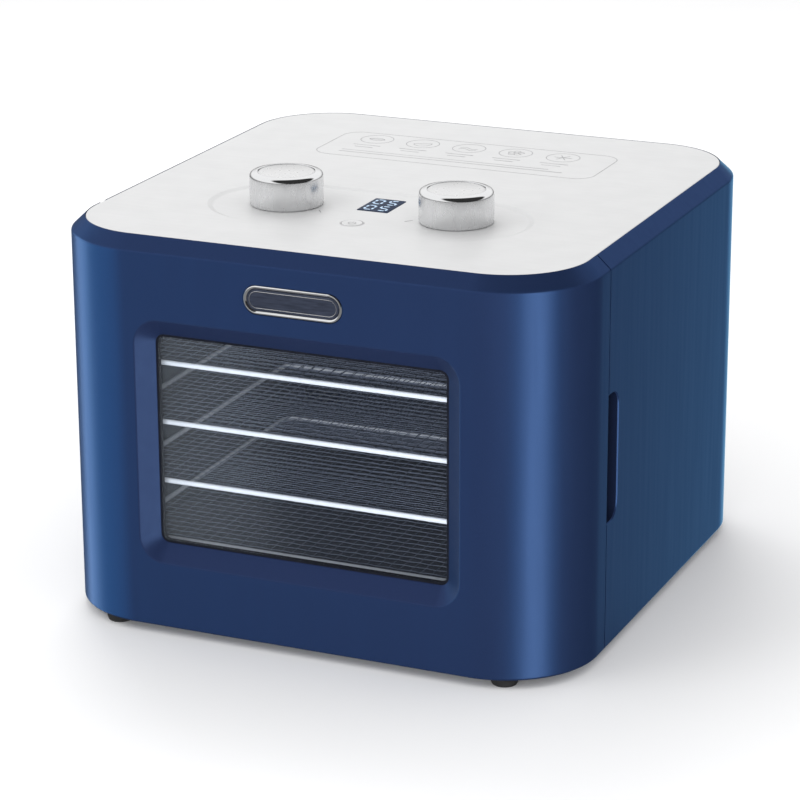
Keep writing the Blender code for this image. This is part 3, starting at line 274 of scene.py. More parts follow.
def solid_plate(name, outline, holes, low, high, materials, edge, axis="Z"):
    """A flat plate with holes and softened outer edges; axis Y plates are drawn as (x, z)."""
    bm = bmesh.new()
    put = flat_loop if axis == "Z" else upright_loop

    def shrink(points, amount):
        us = [u for u, v in points]
        vs = [v for u, v in points]
        cu = (max(us) + min(us)) / 2
        cv = (max(vs) + min(vs)) / 2
        scale_u = 1 - amount / (max(us) - cu)
        scale_v = 1 - amount / (max(vs) - cv)
        return [(cu + (u - cu) * scale_u, cv + (v - cv) * scale_v) for u, v in points]

    levels = [(edge, low), (edge * 0.3, low + edge * 0.3), (0.0, low + edge)]
    levels += [(0.0, high - edge), (edge * 0.3, high - edge * 0.3), (edge, high)]
    rings = [put(bm, shrink(outline, inset) if inset else outline, level) for inset, level in levels]
    bridge_all(bm, rings)
    hole_low = [put(bm, hole, low) for hole in holes]
    hole_high = [put(bm, hole, high) for hole in holes]
    for first, second in zip(hole_low, hole_high):
        bridge(bm, first, second)
    normal = (0, 0, 1) if axis == "Z" else (0, 1, 0)
    fill_flat(bm, [rings[0]] + hole_low, normal)
    fill_flat(bm, [rings[-1]] + hole_high, normal)
    return new_object(name, bm, materials)


def wire(name, points, radius, materials, cyclic=False, sides=10):
    """A round bar through the points, as a closed mesh."""
    curve = bpy.data.curves.new(name, "CURVE")
    curve.dimensions = "3D"
    spline = curve.splines.new("POLY")
    spline.points.add(len(points) - 1)
    for target, point in zip(spline.points, points):
        target.co = (*point, 1.0)
    spline.use_cyclic_u = cyclic
    curve.bevel_depth = radius
    curve.bevel_resolution = max(0, sides // 2 - 2)
    curve.use_fill_caps = True
    guide = bpy.data.objects.new(name, curve)
    bpy.context.scene.collection.objects.link(guide)
    graph = bpy.context.evaluated_depsgraph_get()
    data = bpy.data.meshes.new_from_object(guide.evaluated_get(graph))
    bpy.data.objects.remove(guide)
    bm = bmesh.new()
    bm.from_mesh(data)
    bmesh.ops.remove_doubles(bm, verts=bm.verts, dist=0.000004)
    return new_object(name, bm, materials, angle=50)


# ---- materials
def set_inputs(node, values):
    """The node, with its named inputs set."""
    for socket, value in values.items():
        node.inputs[socket].default_value = value
    return node


def new_material(name, colour, roughness, metallic=0.0, coat=0.0, coat_roughness=0.03, specular=0.5):
    mat = bpy.data.materials.new(name)
    mat.use_nodes = True
    set_inputs(mat.node_tree.nodes["Principled BSDF"], {
        "Base Color": (*colour, 1.0), "Roughness": roughness, "Metallic": metallic,
        "Coat Weight": coat, "Coat Roughness": coat_roughness, "Specular IOR Level": specular,
    })
    return mat


def noise(mat, scale, detail, stretch=(1.0, 1.0, 1.0)):
    """A noise texture in object space, in features per metre; returns its factor socket."""
    tree = mat.node_tree
    coords = tree.nodes.new("ShaderNodeTexCoord")
    mapping = set_inputs(tree.nodes.new("ShaderNodeMapping"), {"Scale": stretch})
    values = {"Scale": scale, "Detail": detail}
    texture = set_inputs(tree.nodes.new("ShaderNodeTexNoise"), values)
    tree.links.new(coords.outputs["Object"], mapping.inputs["Vector"])
    tree.links.new(mapping.outputs["Vector"], texture.inputs["Vector"])
    return texture.outputs["Fac"]


def tint(mat, grain, dark, light, low=0.35, high=0.65):
    """Colour drifts between two tones; a grain is a noise's scale, detail and stretch."""
    tree = mat.node_tree
    ramp = tree.nodes.new("ShaderNodeValToRGB")
    ramp.color_ramp.elements[0].position = low
    ramp.color_ramp.elements[1].position = high
    ramp.color_ramp.elements[0].color = (*dark, 1.0)
    ramp.color_ramp.elements[1].color = (*light, 1.0)
    tree.links.new(noise(mat, *grain), ramp.inputs["Fac"])
    tree.links.new(ramp.outputs["Color"], tree.nodes["Principled BSDF"].inputs["Base Color"])


def gloss_range(mat, grain, smooth, rough):
    """Roughness moves between two values."""
    tree = mat.node_tree
    limits = {"From Min": 0.3, "From Max": 0.7, "To Min": smooth, "To Max": rough}
    spread = set_inputs(tree.nodes.new("ShaderNodeMapRange"), limits)
    tree.links.new(noise(mat, *grain), spread.inputs["Value"])
    tree.links.new(spread.outputs["Result"], tree.nodes["Principled BSDF"].inputs["Roughness"])


def bump(mat, grain, depth, strength):
    """Relief of the given depth in metres."""
    tree = mat.node_tree
    values = {"Distance": depth, "Strength": strength}
    relief = set_inputs(tree.nodes.new("ShaderNodeBump"), values)
    tree.links.new(noise(mat, *grain), relief.inputs["Height"])
    tree.links.new(relief.outputs["Normal"], tree.nodes["Principled BSDF"].inputs["Normal"])


def finish(name, colour, roughness, *surface, tones=None, gloss=None, relief=None, **more):
    """A material from new_material's values and the arguments of tint, gloss_range and bump."""
    mat = new_material(name, colour, roughness, *surface, **more)
    if tones:
        tint(mat, *tones)
    if gloss:
        gloss_range(mat, *gloss)
    if relief:
        bump(mat, *relief)
    return mat


def blue_lacquer():
    mat = new_material("blue_lacquer", (0.0190, 0.0345, 0.094), 0.33, 0.55, specular=0.10)
    shader = mat.node_tree.nodes["Principled BSDF"]
    shader.inputs["Specular Tint"].default_value = (0.30, 0.55, 1.0, 1.0)
    tint(mat, (2600, 2.0), (0.0175, 0.0320, 0.087), (0.0205, 0.0370, 0.101), 0.30, 0.70)
    gloss_range(mat, (240, 4.0, (1.0, 1.0, 0.05)), 0.30, 0.36)
    bump(mat, (900, 3.0), 0.000012, 0.3)
    return mat


def lcd_digit():
    mat = new_material("lcd_digit", (0.55, 0.70, 0.88), 0.4)
    shader = mat.node_tree.nodes["Principled BSDF"]
    shader.inputs["Emission Color"].default_value = (0.50, 0.70, 1.0, 1.0)
    shader.inputs["Emission Strength"].default_value = 0.20
    tint(mat, (700, 2.0), (0.50, 0.66, 0.84), (0.60, 0.76, 0.94))
    return mat


def door_glass():
    """Clear glass: mostly see-through, with a Fresnel reflection."""
    mat = new_material("door_glass", (0.020, 0.024, 0.032), 0.18, specular=1.0)
    tree = mat.node_tree
    shader = tree.nodes["Principled BSDF"]
    gloss_range(mat, (30, 2.0), 0.16, 0.20)
    clear_tone = {"Color": (0.93, 0.95, 0.98, 1.0)}
    clear = set_inputs(tree.nodes.new("ShaderNodeBsdfTransparent"), clear_tone)
    facing = set_inputs(tree.nodes.new("ShaderNodeLayerWeight"), {"Blend": 0.25})
    limits = {"To Min": 0.12, "To Max": 0.60}
    share = set_inputs(tree.nodes.new("ShaderNodeMapRange"), limits)
    mix = tree.nodes.new("ShaderNodeMixShader")
    tree.links.new(facing.outputs["Facing"], share.inputs["Value"])
    tree.links.new(share.outputs["Result"], mix.inputs["Fac"])
    tree.links.new(clear.outputs["BSDF"], mix.inputs[1])
    tree.links.new(shader.outputs["BSDF"], mix.inputs[2])
    tree.links.new(mix.outputs["Shader"], tree.nodes["Material Output"].inputs["Surface"])
    return mat


BLUE = blue_lacquer()
# The same blue on the window's sloping surround, with a softer gloss and a base colour darkened as painted shade
BLUE_SLOPE_SHADED = finish(
    "bezel_lacquer_painted_shade", (0.0150, 0.0260, 0.074), 0.40, 0.42, specular=0.10,
    tones=((2600, 2.0), (0.0138, 0.0240, 0.068), (0.0162, 0.0280, 0.080), 0.30, 0.70),
    gloss=((240, 4.0), 0.36, 0.43),
)
# The same blue deep inside the finger recess, unpolished, its colour darkened as painted shade of the pocket
BLUE_GRIP_SHADED = finish(
    "grip_lacquer_painted_shade", (0.0060, 0.0110, 0.0340), 0.55, 0.15, specular=0.10,
    tones=((1800, 2.0), (0.0050, 0.0095, 0.0300), (0.0070, 0.0125, 0.0380), 0.30, 0.70),
)
WHITE = finish(
    "white_satin", (0.64, 0.642, 0.646), 0.38, 0.0, 0.10, 0.20,
    tones=((60, 4.0), (0.630, 0.632, 0.636), (0.652, 0.654, 0.658)),
    gloss=((500, 3.0, (0.08, 1.0, 1.0)), 0.32, 0.42),
    relief=((1500, 2.0, (0.15, 1.0, 1.0)), 0.000010, 0.35),
)
CHROME = finish(
    "mirror_chrome", (0.86, 0.865, 0.875), 0.06, 1.0,
    gloss=((300, 3.0), 0.05, 0.09),
)
SATIN = finish(
    "satin_chrome", (0.80, 0.803, 0.81), 0.27, 1.0,
    tones=((300, 2.0, (1.0, 1.0, 0.30)), (0.78, 0.783, 0.79), (0.82, 0.823, 0.83)),
    gloss=((240, 2.0, (1.0, 1.0, 0.30)), 0.25, 0.29),
)
DISC = finish(
    "spun_disc", (0.74, 0.74, 0.745), 0.30, 0.55,
    tones=((700, 3.0), (0.72, 0.72, 0.725), (0.77, 0.77, 0.775)), gloss=((500, 2.0), 0.27, 0.33),
    relief=((900, 2.0), 0.000004, 0.2),
)
DARK = finish(
    "dark_plastic", (0.012, 0.014, 0.022), 0.5,
    tones=((120, 4.0), (0.010, 0.012, 0.019), (0.016, 0.018, 0.027)),
    gloss=((350, 3.0), 0.42, 0.58), relief=((2200, 2.0), 0.00004, 0.5),
)
ENAMEL = finish(
    "dark_enamel", (0.020, 0.023, 0.034), 0.36, 0.2,
    tones=((60, 4.0), (0.016, 0.019, 0.029), (0.026, 0.030, 0.043)), gloss=((220, 3.0), 0.30, 0.42),
)
STEEL = finish(
    "drawn_steel", (0.62, 0.63, 0.645), 0.28, 1.0,
    tones=((160, 4.0), (0.56, 0.57, 0.585), (0.68, 0.69, 0.70)), gloss=((420, 3.0), 0.22, 0.34),
)
ROD = finish(
    "bright_rod", (0.92, 0.925, 0.93), 0.25, 0.15, 0.3, 0.08,
    tones=((250, 3.0), (0.87, 0.875, 0.88), (0.93, 0.935, 0.94)), gloss=((500, 2.0), 0.18, 0.27),
)
MESH = finish(
    "mesh_wire", (0.19, 0.21, 0.26), 0.36, 0.3,
    tones=((200, 3.0), (0.16, 0.18, 0.23), (0.23, 0.25, 0.31)), gloss=((600, 2.0), 0.28, 0.42),
)
RUBBER = finish(
    "black_rubber", (0.012, 0.012, 0.013), 0.72,
    tones=((180, 3.0), (0.010, 0.010, 0.011), (0.018, 0.018, 0.019)),
    relief=((1600, 2.0), 0.00005, 0.6),
)
BADGE = finish(
    "badge_enamel", (0.020, 0.026, 0.045), 0.30, 0.3, 0.5, 0.06,
    tones=((900, 3.0, (0.1, 1.0, 1.0)), (0.015, 0.020, 0.036), (0.028, 0.035, 0.058)),
)
LCD = finish(
    "lcd_glass", (0.010, 0.024, 0.062), 0.30, specular=0.04,
    tones=((90, 2.0), (0.008, 0.020, 0.054), (0.012, 0.028, 0.070)),
)
DIGIT = lcd_digit()
PRINT = finish(
    "grey_print", (0.34, 0.34, 0.35), 0.5,
    tones=((1400, 2.0), (0.30, 0.30, 0.31), (0.40, 0.40, 0.41)),
)
PALE_PRINT = finish(
    "pale_print", (0.52, 0.52, 0.53), 0.5,
    tones=((1400, 2.0), (0.48, 0.48, 0.49), (0.58, 0.58, 0.59)),
)
GREEN = finish(
    "circuit_green", (0.012, 0.090, 0.035), 0.4, 0.0, 0.4, 0.10,
    tones=((420, 4.0), (0.008, 0.060, 0.024), (0.020, 0.120, 0.050)),
)
BRASS = finish(
    "plain_brass", (0.62, 0.44, 0.17), 0.3, 1.0,
    tones=((300, 3.0), (0.56, 0.39, 0.14), (0.68, 0.49, 0.21)),
)
GLASS = door_glass()
# The dull black band printed round the pane
BORDER = finish(
    "window_border", (0.008, 0.009, 0.013), 0.6, specular=0.0,
    tones=((300, 3.0), (0.007, 0.008, 0.012), (0.010, 0.011, 0.016)),
)
FLOOR = finish(
    "studio_floor", (0.93, 0.93, 0.935), 0.55,
    tones=((6, 3.0), (0.925, 0.925, 0.93), (0.935, 0.935, 0.94)),
)


# ---- camera, floor and lights
def make_camera():
    data = bpy.data.cameras.new("photo_camera")
    data.lens = CAMERA_LENS
    data.sensor_width = 36.0
    data.clip_end = 20.0
    camera = bpy.data.objects.new("photo_camera", data)
    look = (CAMERA_AIM - CAMERA_PLACE).to_track_quat("-Z", "Y").to_matrix().to_4x4()
    roll = Matrix.Rotation(math.radians(CAMERA_ROLL), 4, "Z")
    camera.matrix_world = Matrix.Translation(CAMERA_PLACE) @ look @ roll
    bpy.context.scene.collection.objects.link(camera)
    bpy.context.scene.camera = camera


def make_floor():
    bm = bmesh.new()
    bmesh.ops.create_grid(bm, x_segments=1, y_segments=1, size=6.0)
    floor = new_object("studio_floor", bm, [FLOOR])
    floor.visible_glossy = False
    floor.visible_shadow = False


SHELL_LIT = bpy.data.collections.new("shell_reflections")
INSIDE_LIT = bpy.data.collections.new("chamber_lighting")
PANE_LIT = bpy.data.collections.new("pane_reflections")


def area_light(name, place, aim, size, power, colour=(1.0, 1.0, 1.0), shine=False, only=None):
    """A rectangle of soft light or, as a shine, one that shows only in reflections."""
    data = bpy.data.lights.new(name, "AREA")
    data.shape = "RECTANGLE"
    data.size, data.size_y = size
    data.energy = power
    data.color = colour
    light = bpy.data.objects.new(name, data)
    turn = (Vector(aim) - Vector(place)).to_track_quat("-Z", "Y").to_matrix().to_4x4()
    light.matrix_world = Matrix.Translation(place) @ turn
    light.visible_diffuse = not shine
    light.visible_glossy = shine
    light.visible_camera = False
    if only:
        light.light_linking.receiver_collection = only
    bpy.context.scene.collection.objects.link(light)


def strip_light(name, bearing, distance, size, middle, power, colour):
    """An upright strip that shines on the shells; bearing in degrees from the front to the right."""
    x = distance * math.sin(math.radians(bearing))
    y = -distance * math.cos(math.radians(bearing))
    area_light(name, (x, y, middle), (0.0, 0.0, middle), size, power, colour, True, SHELL_LIT)


def map_range(tree, value, source, target):
    """A smooth step from one range into the other; returns its output."""
    node = tree.nodes.new("ShaderNodeMapRange")
    node.interpolation_type = "SMOOTHSTEP"
    set_inputs(node, {"From Min": source[0], "From Max": source[1]})
    set_inputs(node, {"To Min": target[0], "To Max": target[1]})
    tree.links.new(value, node.inputs["Value"])
    return node.outputs["Result"]


def combine(tree, operation, first, second):
    """A math node on two outputs, or on a number and an output; returns its output."""
    node = tree.nodes.new("ShaderNodeMath")
    node.operation = operation
    if isinstance(first, float):
        node.inputs[0].default_value = first
    else:
        tree.links.new(first, node.inputs[0])
    tree.links.new(second, node.inputs[1])
    return node.outputs["Value"]


def make_world():
    """White above, dim below the horizon, with a dark patch high at the front that edges the chrome."""
    world = bpy.data.worlds.new("studio")
    bpy.context.scene.world = world
    world.use_nodes = True
    tree = world.node_tree
    sky = tree.nodes["Background"]
    sky.inputs["Color"].default_value = (1.0, 1.0, 1.0, 1.0)
    direction = tree.nodes.new("ShaderNodeTexCoord").outputs["Generated"]
    split = tree.nodes.new("ShaderNodeSeparateXYZ")
    tree.links.new(direction, split.inputs["Vector"])
    level = map_range(tree, split.outputs["Z"], HORIZON, WORLD_LEVELS)
    facing = tree.nodes.new("ShaderNodeVectorMath")
    facing.operation = "DOT_PRODUCT"
    facing.inputs[1].default_value = Vector(PATCH_DIRECTION).normalized()
    tree.links.new(direction, facing.inputs[0])
    patch = map_range(tree, facing.outputs["Value"], PATCH_EDGE, (0.0, PATCH_DEPTH))
    ray = tree.nodes.new("ShaderNodeLightPath").outputs
    darker = combine(tree, "MULTIPLY", patch, ray["Is Glossy Ray"])
    strength = combine(tree, "MULTIPLY", level, combine(tree, "SUBTRACT", 1.0, darker))
    backdrop = combine(tree, "MAXIMUM", strength, ray["Is Camera Ray"])
    tree.links.new(backdrop, sky.inputs["Strength"])


def make_light():
    """Soft boxes, then the shines that draw the shells' bands and the pane's veil."""
    make_world()
    cyan = (0.20, 0.85, 1.0)
    warm = (1.0, 1.0, 0.80)
    corner_height, left_height = 2.2, 2.4
    corner_middle, left_middle = -0.4, -0.3
    front = (0.45, 0.35)
    area_light("left_softbox", (-0.9, -1.0, 1.1), (0.0, -0.05, 0.15), (0.8, 0.8), 4.0)
    area_light("top_softbox", (-0.6, 0.9, 1.4), (0.0, 0.1, 0.2), (0.9, 0.9), 9.0)
    area_light("front_fill", (0.30, -1.0, 0.11), (0.0, -0.12, 0.10), front, 8.5)
    area_light("window_fill", (0.25, -1.0, 0.20), (0.0, -0.12, 0.09), front, 12.0, only=INSIDE_LIT)
    strip_light("corner_strip", 54.0, 2.1, (0.90, corner_height), corner_middle, 34.0, warm)
    strip_light("corner_halo", 54.0, 2.2, (2.00, corner_height), corner_middle, 16.0, cyan)
    strip_light("left_strip", -94.0, 1.9, (0.90, left_height), left_middle, 34.0, warm)
    strip_light("left_wash", -58.0, 2.0, (1.60, left_height), left_middle, 22.0, cyan)
    area_light(
        "side_panel", (0.13, 0.74, -0.05), (0.15, 0.05, 0.10), (0.40, 0.60), 1.1,
        (0.45, 0.92, 1.0), True, SHELL_LIT,
    )
    area_light(
        "glass_veil", (-0.32, -0.52, -0.03), (-0.10, -0.15, 0.11), (0.20, 0.30), 0.55,
        (0.80, 0.90, 1.0), True, PANE_LIT,
    )


bpy.context.scene.view_settings.view_transform = "Standard"
make_camera()
make_floor()
make_light()


# ---- blue shells
def side_profile():
    """(inset, height) points up the wall: bottom lip, upright side, chamfer and top edge."""
    shoulder = TOP_Z - CHAMFER_HEIGHT
    points = [(BOTTOM_LIP, LOW_Z)]
    points += arc((EDGE_RADIUS, LOW_Z + EDGE_RADIUS), EDGE_RADIUS, 270, 180, 5)
    side = len(points) - 1
    points += fillet((0.0, LOW_Z), (0.0, shoulder), (CHAMFER_WIDTH, TOP_Z), SHOULDER_RADIUS, 5)
    rim = fillet((0.0, shoulder), (CHAMFER_WIDTH, TOP_Z), (CHAMFER_WIDTH + 0.01, TOP_Z), RIM_RADIUS, 3)
    points += [point for point in rim if point[0] < CHAMFER_WIDTH - 0.0001]
    points += [(CHAMFER_WIDTH, TOP_Z)]
    return points, side


def shell_outline(inset, front, right_end, left_end):
    """Half of the body's plan outline, from its right seam round to its left seam."""
    radius = CORNER_RADIUS - inset
    sign = -1 if front else 1
    far = (FRONT_Y if front else BACK_Y) - sign * CORNER_RADIUS
    x = HALF_W - CORNER_RADIUS
    points = [(HALF_W - inset, right_end)]
    points += arc((x, far), radius, 0, sign * 90, CORNER_STEPS)
    points += arc((-x, far), radius, sign * 90, sign * 180, CORNER_STEPS)
    points.append((-HALF_W + inset, left_end))
    return points


def shell_grid(bm, front, right_end, left_end, skip):
    """The wall as a grid of quads; skip holds the (column, row) quads that are left open."""
    profile, side = side_profile()
    rows = []
    for inset, height in profile:
        outline = shell_outline(inset, front, right_end, left_end)
        rows.append(flat_loop(bm, outline, height))
    for row, (low, high) in enumerate(zip(rows, rows[1:])):
        for column in range(len(low) - 1):
            if row == side and column in skip:
                continue
            bm.faces.new((low[column], low[column + 1], high[column + 1], high[column]))
    return rows[side], rows[side + 1]


def thicken(bm, thickness):
    """Give an open skin its wall: an inner copy, joined to the outer one round every edge."""
    bmesh.ops.recalc_face_normals(bm, faces=bm.faces)
    middle = Vector((0.0, 0.0, (LOW_Z + TOP_Z) / 2))
    widest = max(bm.faces, key=lambda face: face.calc_area())
    if widest.normal.dot(widest.calc_center_median() - middle) < 0:
        bmesh.ops.reverse_faces(bm, faces=bm.faces)
    bm.normal_update()
    outer_faces = list(bm.faces)
    border = [edge for edge in bm.edges if len(edge.link_faces) == 1]
    inner = {}
    for vert in list(bm.verts):
        if vert.co.z > TOP_Z - 0.00005:
            place = vert.co - Vector((0.0, 0.0, thickness))
        else:
            place = vert.co - vert.normal * thickness
        inner[vert] = bm.verts.new(place)
    for face in outer_faces:
        copy = bm.faces.new([inner[vert] for vert in reversed(face.verts)])
        copy.material_index = face.material_index
    for edge in border:
        a, b = edge.verts
        face = edge.link_faces[0]
        order = [loop.vert for loop in face.loops]
        if order[(order.index(a) + 1) % len(order)] is not b:
            a, b = b, a
        bm.faces.new((b, a, inner[a], inner[b]))


def finish_shell(name, bm, body, nodes):
    bmesh.ops.remove_doubles(bm, verts=bm.verts, dist=0.000002)
    thicken(bm, SHELL_WALL)
    shell = weighted(new_object(name, bm, [BLUE, BLUE_SLOPE_SHADED, BLUE_GRIP_SHADED], angle=28))
    SHELL_LIT.objects.link(shell)
    return piece(shell, body, "blue_shell", *nodes)


FLAT_COLUMN = CORNER_STEPS + 1      # the straight stretch between the two corners
HINGE_COLUMN = 2 * CORNER_STEPS + 2     # the last stretch, which ends at the hinge


def make_door_shell():
    bm = bmesh.new()
    hinge_edge = PIVOT.y - 0.0002
    low, high = shell_grid(bm, True, DOOR_EDGE_Y, hinge_edge, {FLAT_COLUMN, HINGE_COLUMN})
    notches = []
    for bracket_low, bracket_high in HINGE_BRACKETS:
        start = bracket_low.z - BRACKET_GAP
        end = bracket_high.z + BRACKET_GAP
        inner = hinge_edge - NOTCH_DEPTH
        corners = ((hinge_edge, start), (inner, start), (inner, end), (hinge_edge, end))
        notches += loop_verts(bm, [(-HALF_W, y, z) for y, z in corners])
    fill_flat(bm, [[low[-2], low[-1]] + notches + [high[-1], high[-2]]], (-1, 0, 0))
    frame_loop = [low[FLAT_COLUMN], low[FLAT_COLUMN + 1], high[FLAT_COLUMN + 1], high[FLAT_COLUMN]]
    run = (BEZEL_WIDTH - WINDOW_WIDTH) / 2
    section = fillet((-0.02, 0.0), (0.0, 0.0), (run, BEZEL_DEPTH), BEZEL_SOFTNESS, 5)
    section += fillet((0.0, 0.0), (run, BEZEL_DEPTH), (run, BEZEL_DEPTH + 0.01), 0.0006, 3)
    section.append((run, BEZEL_DEPTH + 0.0006))
    rings = []
    for inset, depth in section:
        share = min(1.0, max(0.0, inset / run))
        radius = BEZEL_RADIUS + (WINDOW_RADIUS - BEZEL_RADIUS) * share
        if inset < 0:
            radius -= inset
        width = BEZEL_WIDTH - 2 * inset
        height = BEZEL_HEIGHT - 2 * inset * (BEZEL_HEIGHT - WINDOW_HEIGHT) / 2 / run
        outline = rounded_rect(width, height, radius, (0.0, WINDOW_CENTRE), steps=14)
        rings.append(upright_loop(bm, outline, FRONT_Y + depth))
    # The bezel slopes take material 1, the shell blue darkened as painted shade
    bridge_all(bm, rings, material=1)
    badge_centre = (0.0, (BADGE_LOW.z + BADGE_HIGH.z) / 2)
    badge_width = BADGE_HIGH.x - BADGE_LOW.x + BADGE_PLAY
    badge_height = BADGE_HIGH.z - BADGE_LOW.z + BADGE_PLAY
    badge = rounded_rect(badge_width, badge_height, badge_height / 2 - 0.0001, badge_centre, steps=12)
    pocket = upright_loop(bm, badge, FRONT_Y)
    floor = upright_loop(bm, badge, FRONT_Y + BADGE_POCKET)
    bridge(bm, pocket, floor)
    fill_flat(bm, [floor], (0, -1, 0))
    fill_flat(bm, [frame_loop, rings[0], pocket], (0, -1, 0))
    finish_shell("door_shell_skin", bm, "door", ["door_shell"])
    make_barrels()


def make_barrels():
    """The door's hinge barrel, in three lengths between the cabinet's brackets."""
    ends = [LOW_Z + 0.0068]
    for low, high in HINGE_BRACKETS:
        ends += [low.z - BRACKET_GAP, high.z + BRACKET_GAP]
    ends.append(TOP_Z - CHAMFER_HEIGHT - 0.0060)
    for index in range(3):
        low, high = ends[2 * index], ends[2 * index + 1]
        end = BARREL_RADIUS - BARREL_SOFTNESS
        profile = [(0, high), (end, high), (BARREL_RADIUS, high - BARREL_SOFTNESS)]
        profile += [(BARREL_RADIUS, low + BARREL_SOFTNESS), (end, low), (0, low)]
        barrel = turned(f"door_barrel_{index + 1}", profile, (PIVOT.x, PIVOT.y, 0), [BLUE], steps=32)
        piece(barrel, "door", "blue_shell", "door_shell")


def make_body_shell():
    """The rear half, with the finger recess in its right side and the opening at the back."""
    bm = bmesh.new()
    low, high = shell_grid(bm, False, BODY_EDGE_Y, BODY_EDGE_Y, {0, FLAT_COLUMN})
    radius = GRIP_DEPTH * 0.62
    corner_y = BODY_EDGE_Y + GRIP_DEPTH - radius
    upper = GRIP_CENTRE + GRIP_HEIGHT / 2
    lower = GRIP_CENTRE - GRIP_HEIGHT / 2
    chain = [(BODY_EDGE_Y, lower)]
    chain += arc((corner_y, lower + radius), radius, 270, 360, 8)
    chain += arc((corner_y, upper - radius), radius, 0, 90, 8)
    chain.append((BODY_EDGE_Y, upper))
    depths = ((0.0, 0.0), (0.0005, 0.0007), (0.0010, GRIP_RECESS - 0.0015), (0.0024, GRIP_RECESS))
    rings = []
    for inset, depth in depths:
        points = []
        for y, z in chain:
            scale_z = 1 - inset / (GRIP_HEIGHT / 2)
            moved = y if y <= BODY_EDGE_Y else y - inset * (y - BODY_EDGE_Y) / GRIP_DEPTH
            points.append((HALF_W - depth, moved, GRIP_CENTRE + (z - GRIP_CENTRE) * scale_z))
        rings.append(loop_verts(bm, points))
    for row, (first, second) in enumerate(zip(rings, rings[1:])):
        # The recess walls and floor take material 2, the shell blue darkened as painted shade
        bridge(bm, first, second, closed=False, material=0 if row == 0 else 2)
    bm.faces.new(rings[-1]).material_index = 2
    notch = [low[0], low[1], high[1], high[0]] + list(reversed(rings[0]))
    fill_flat(bm, [notch], (1, 0, 0))
    play = 0.0008
    width = COVER_HIGH.x - COVER_LOW.x + play
    height = COVER_HIGH.z - COVER_LOW.z + play
    opening = rounded_rect(width, height, 0.0102, (0.0, (COVER_LOW.z + COVER_HIGH.z) / 2))
    mouth = upright_loop(bm, opening, BACK_Y)
    sunk = upright_loop(bm, opening, BACK_Y - 0.0030)
    bridge(bm, mouth, sunk)
    gland_low, gland_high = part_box("cord_gland")
    gland_centre = ((gland_low.x + gland_high.x) / 2, (gland_low.z + gland_high.z) / 2)
    gland = upright_loop(bm, circle(0.0068, gland_centre, 32), BACK_Y)
    wall = [low[FLAT_COLUMN], low[FLAT_COLUMN + 1], high[FLAT_COLUMN + 1], high[FLAT_COLUMN]]
    fill_flat(bm, [wall, mouth, gland], (0, 1, 0))
    finish_shell("body_shell_skin", bm, "cabinet", ["body_shell"])


make_door_shell()
make_body_shell()


# ---- white top
def make_top_panel():
    bm = bmesh.new()
    half_w = PANEL_HIGH.x + 0.0003
    half_d = PANEL_HIGH.y + 0.0003
    radius = CORNER_RADIUS - (HALF_W - half_w)
    rings = []
    soft = 0.0007
    levels = [(0.0, PANEL_LOW.z)]
    levels += [(soft - x, TOP_Z - soft + z) for x, z in arc((0.0, 0.0), soft, 0, 90, 4)]
    for inset, height in levels:
        width = 2 * (half_w - inset)
        depth = 2 * (half_d - inset)
        outline = rounded_rect(width, depth, radius - inset, steps=CORNER_STEPS)
        rings.append(flat_loop(bm, outline, height))
    bridge_all(bm, rings)
    fill_flat(bm, [rings[0]], (0, 0, 1))
    recess_rings = []
    floor_z = TOP_Z - RECESS_DEPTH
    section = [(-0.0006, TOP_Z), (0.0000, TOP_Z - 0.00008), (0.0005, TOP_Z - 0.00024)]
    section += [(0.0022, floor_z + 0.00024), (0.0028, floor_z + 0.00006), (0.0034, floor_z)]
    for inset, height in section:
        reach = RECESS_RADIUS - inset
        width = KNOB_SPACING + 2 * reach
        outline = rounded_rect(width, 2 * reach, reach - 0.00001, (0.0, RECESS_CENTRE_Y), steps=32)
        recess_rings.append(flat_loop(bm, outline, height))
    bridge_all(bm, recess_rings)
    fill_flat(bm, [rings[-1], recess_rings[0]], (0, 0, 1))
    lens_w = LENS_HIGH.x - LENS_LOW.x + 0.0004
    lens_d = LENS_HIGH.y - LENS_LOW.y + 0.0004
    openings = [
        circle(BUTTON_HIGH.x + 0.0003, (0.0, BUTTON_Y)),
        rounded_rect(lens_w, lens_d, 0.0008, (0.0, LENS_Y), steps=4),
    ]
    holes = []
    for outline in openings:
        upper = flat_loop(bm, outline, floor_z)
        lower = flat_loop(bm, outline, floor_z - 0.0015)
        bridge(bm, upper, lower)
        holes.append(upper)
    fill_flat(bm, [recess_rings[-1]] + holes, (0, 0, 1))
    panel = weighted(new_object("top_panel_skin", bm, [WHITE], angle=40))
    piece(panel, "cabinet", "white_panel", "top_panel")


make_top_panel()


